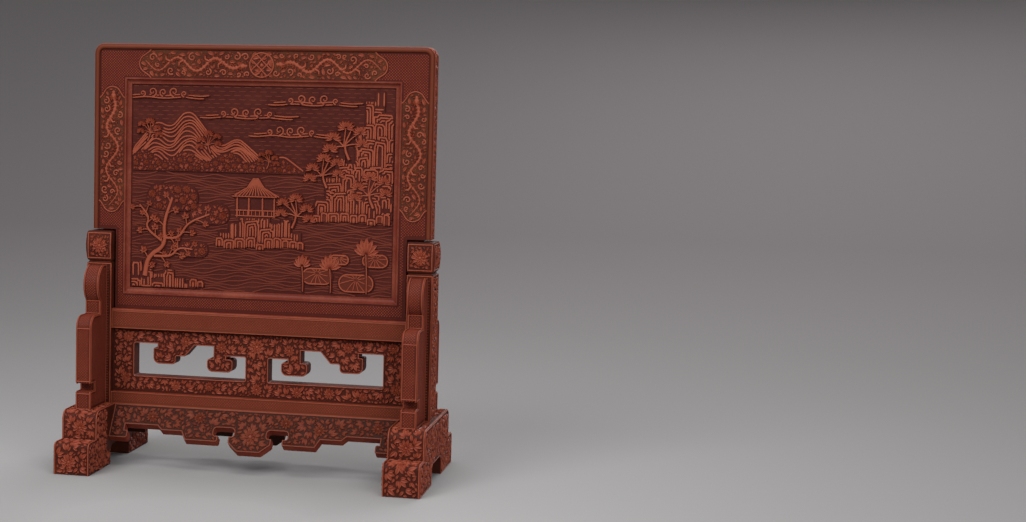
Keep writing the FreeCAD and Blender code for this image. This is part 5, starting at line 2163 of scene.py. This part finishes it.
@dataclass
class Stage:
    """Seamless round backdrop, soft lamps and the camera of the photograph."""

    floor_radius: float = 1.2
    cove_radius: float = 5.0
    cove_steps: int = 24
    wall: float = 0.5
    azimuth: float = 14.176
    elevation: float = 5.221
    roll: float = 0.971
    distance: float = 2.4986
    aim_height: float = 0.26745
    focal_px: float = 1958.08
    centre_px: float = 260.59
    # Name, place, size and power of each soft box
    boxes: Sequence[tuple[str, Point, float, float]] = (
        ("key_box", (-1.2, -2.7, 2.5), 2.2, 88.0), ("fill_box", (1.9, -2.5, 1.7), 2.2, 46.0),
        ("top_box", (0.0, 0.1, 3.2), 2.6, 46.0), ("rear_box", (0.7, 2.9, 2.3), 2.2, 66.0))
    lamp_aim: float = 0.27
    world_colour: str = "#c8c8c8"
    world_strength: float = 0.45

    def build(self) -> None:
        """Set up the backdrop, the lamps, the world and the camera."""
        self.backdrop()
        self.lamps()
        self.camera()
        bpy.context.scene.view_settings.view_transform = "Standard"

    def backdrop(self) -> None:
        """Raise a round sheet of paper from the floor in a cove."""
        bpy.ops.object.select_all(action="DESELECT")
        bpy.ops.mesh.primitive_circle_add(vertices=96, radius=self.floor_radius, fill_type="NGON")
        paper = bpy.context.object
        paper.name = "studio_paper"
        bpy.ops.object.mode_set(mode="EDIT")
        bpy.ops.mesh.select_mode(type="EDGE")
        bpy.ops.mesh.select_all(action="SELECT")
        radius, height = self.floor_radius, 0.0
        for k in range(1, self.cove_steps + 1):
            angle = math.pi / 2 * k / self.cove_steps
            wider = self.floor_radius + self.cove_radius * math.sin(angle)
            higher = self.cove_radius * (1 - math.cos(angle))
            self.raise_rim(wider / radius, higher - height)
            radius, height = wider, higher
        self.raise_rim(1.0, self.wall)
        bpy.ops.object.mode_set(mode="OBJECT")
        bpy.ops.object.shade_smooth_by_angle(angle=math.radians(30))
        paper.data.materials.append(StudioPaper().material())

    @staticmethod
    def raise_rim(factor: float, rise: float) -> None:
        """Extrude the rim of the sheet, widen it and lift it."""
        bpy.ops.mesh.extrude_edges_move(TRANSFORM_OT_translate={"value": (0, 0, rise)})
        bpy.ops.transform.resize(value=(factor, factor, 1.0), center_override=(0, 0, 0))

    def lamps(self) -> None:
        """Hang soft boxes round the object, strongest in front and above, and set a dim even world."""
        for name, place, size, power in self.boxes:
            light = bpy.data.lights.new(name, "AREA")
            light.shape, light.size, light.energy = "DISK", size, power
            lamp = bpy.data.objects.new(name, light)
            lamp.location = place
            aim = Vector((0, 0, self.lamp_aim)) - Vector(place)
            lamp.rotation_euler = aim.to_track_quat("-Z", "Y").to_euler()
            bpy.context.scene.collection.objects.link(lamp)
        world = bpy.data.worlds.new("dim_studio")
        world.use_nodes = True
        background = world.node_tree.nodes["Background"]
        background.inputs["Color"].default_value = linear(self.world_colour)
        background.inputs["Strength"].default_value = self.world_strength
        bpy.context.scene.world = world

    def camera(self) -> None:
        """Place the camera as the photograph's, which has its picture of the front in its left half."""
        az, el, roll = (math.radians(v) for v in (self.azimuth, self.elevation, self.roll))
        turn = Matrix.Rotation(az, 4, "Z") @ Matrix.Rotation(math.pi / 2 - el, 4, "X")
        aim = Matrix.Translation((0, 0, self.aim_height))
        data = bpy.data.cameras.new("photo_camera")
        data.sensor_width = 36.0
        data.lens = self.focal_px / PHOTO_WIDTH * data.sensor_width
        data.shift_x = (PHOTO_WIDTH / 2 - self.centre_px) / PHOTO_WIDTH
        camera = bpy.data.objects.new("photo_camera", data)
        away = Matrix.Translation((0, 0, self.distance))
        camera.matrix_world = aim @ turn @ away @ Matrix.Rotation(roll, 4, "Z")
        bpy.context.scene.collection.objects.link(camera)
        bpy.context.scene.camera = camera


def main() -> None:
    """Dress the part: load the frame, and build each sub-assembly in order."""
    logging.basicConfig(level=logging.INFO, format="%(message)s")
    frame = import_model()
    Stage().build()
    shop = Workshop(frame["nodes"], MotifBench(), {finish: finish.value.material() for finish in Finish})
    for side in Side:
        Foot(shop, side).build()
        Post(shop, side).build()
        for place in Place:
            Spandrel(shop, side, place).build()
    Rails(shop).build()
    OpenworkBoard(shop).build()
    for place in Place:
        Apron(shop, place).build()
    PanelFrame(shop).build()
    Picture(shop).build()
    BackFace(shop).build()


if __name__ == "__main__":
    main()
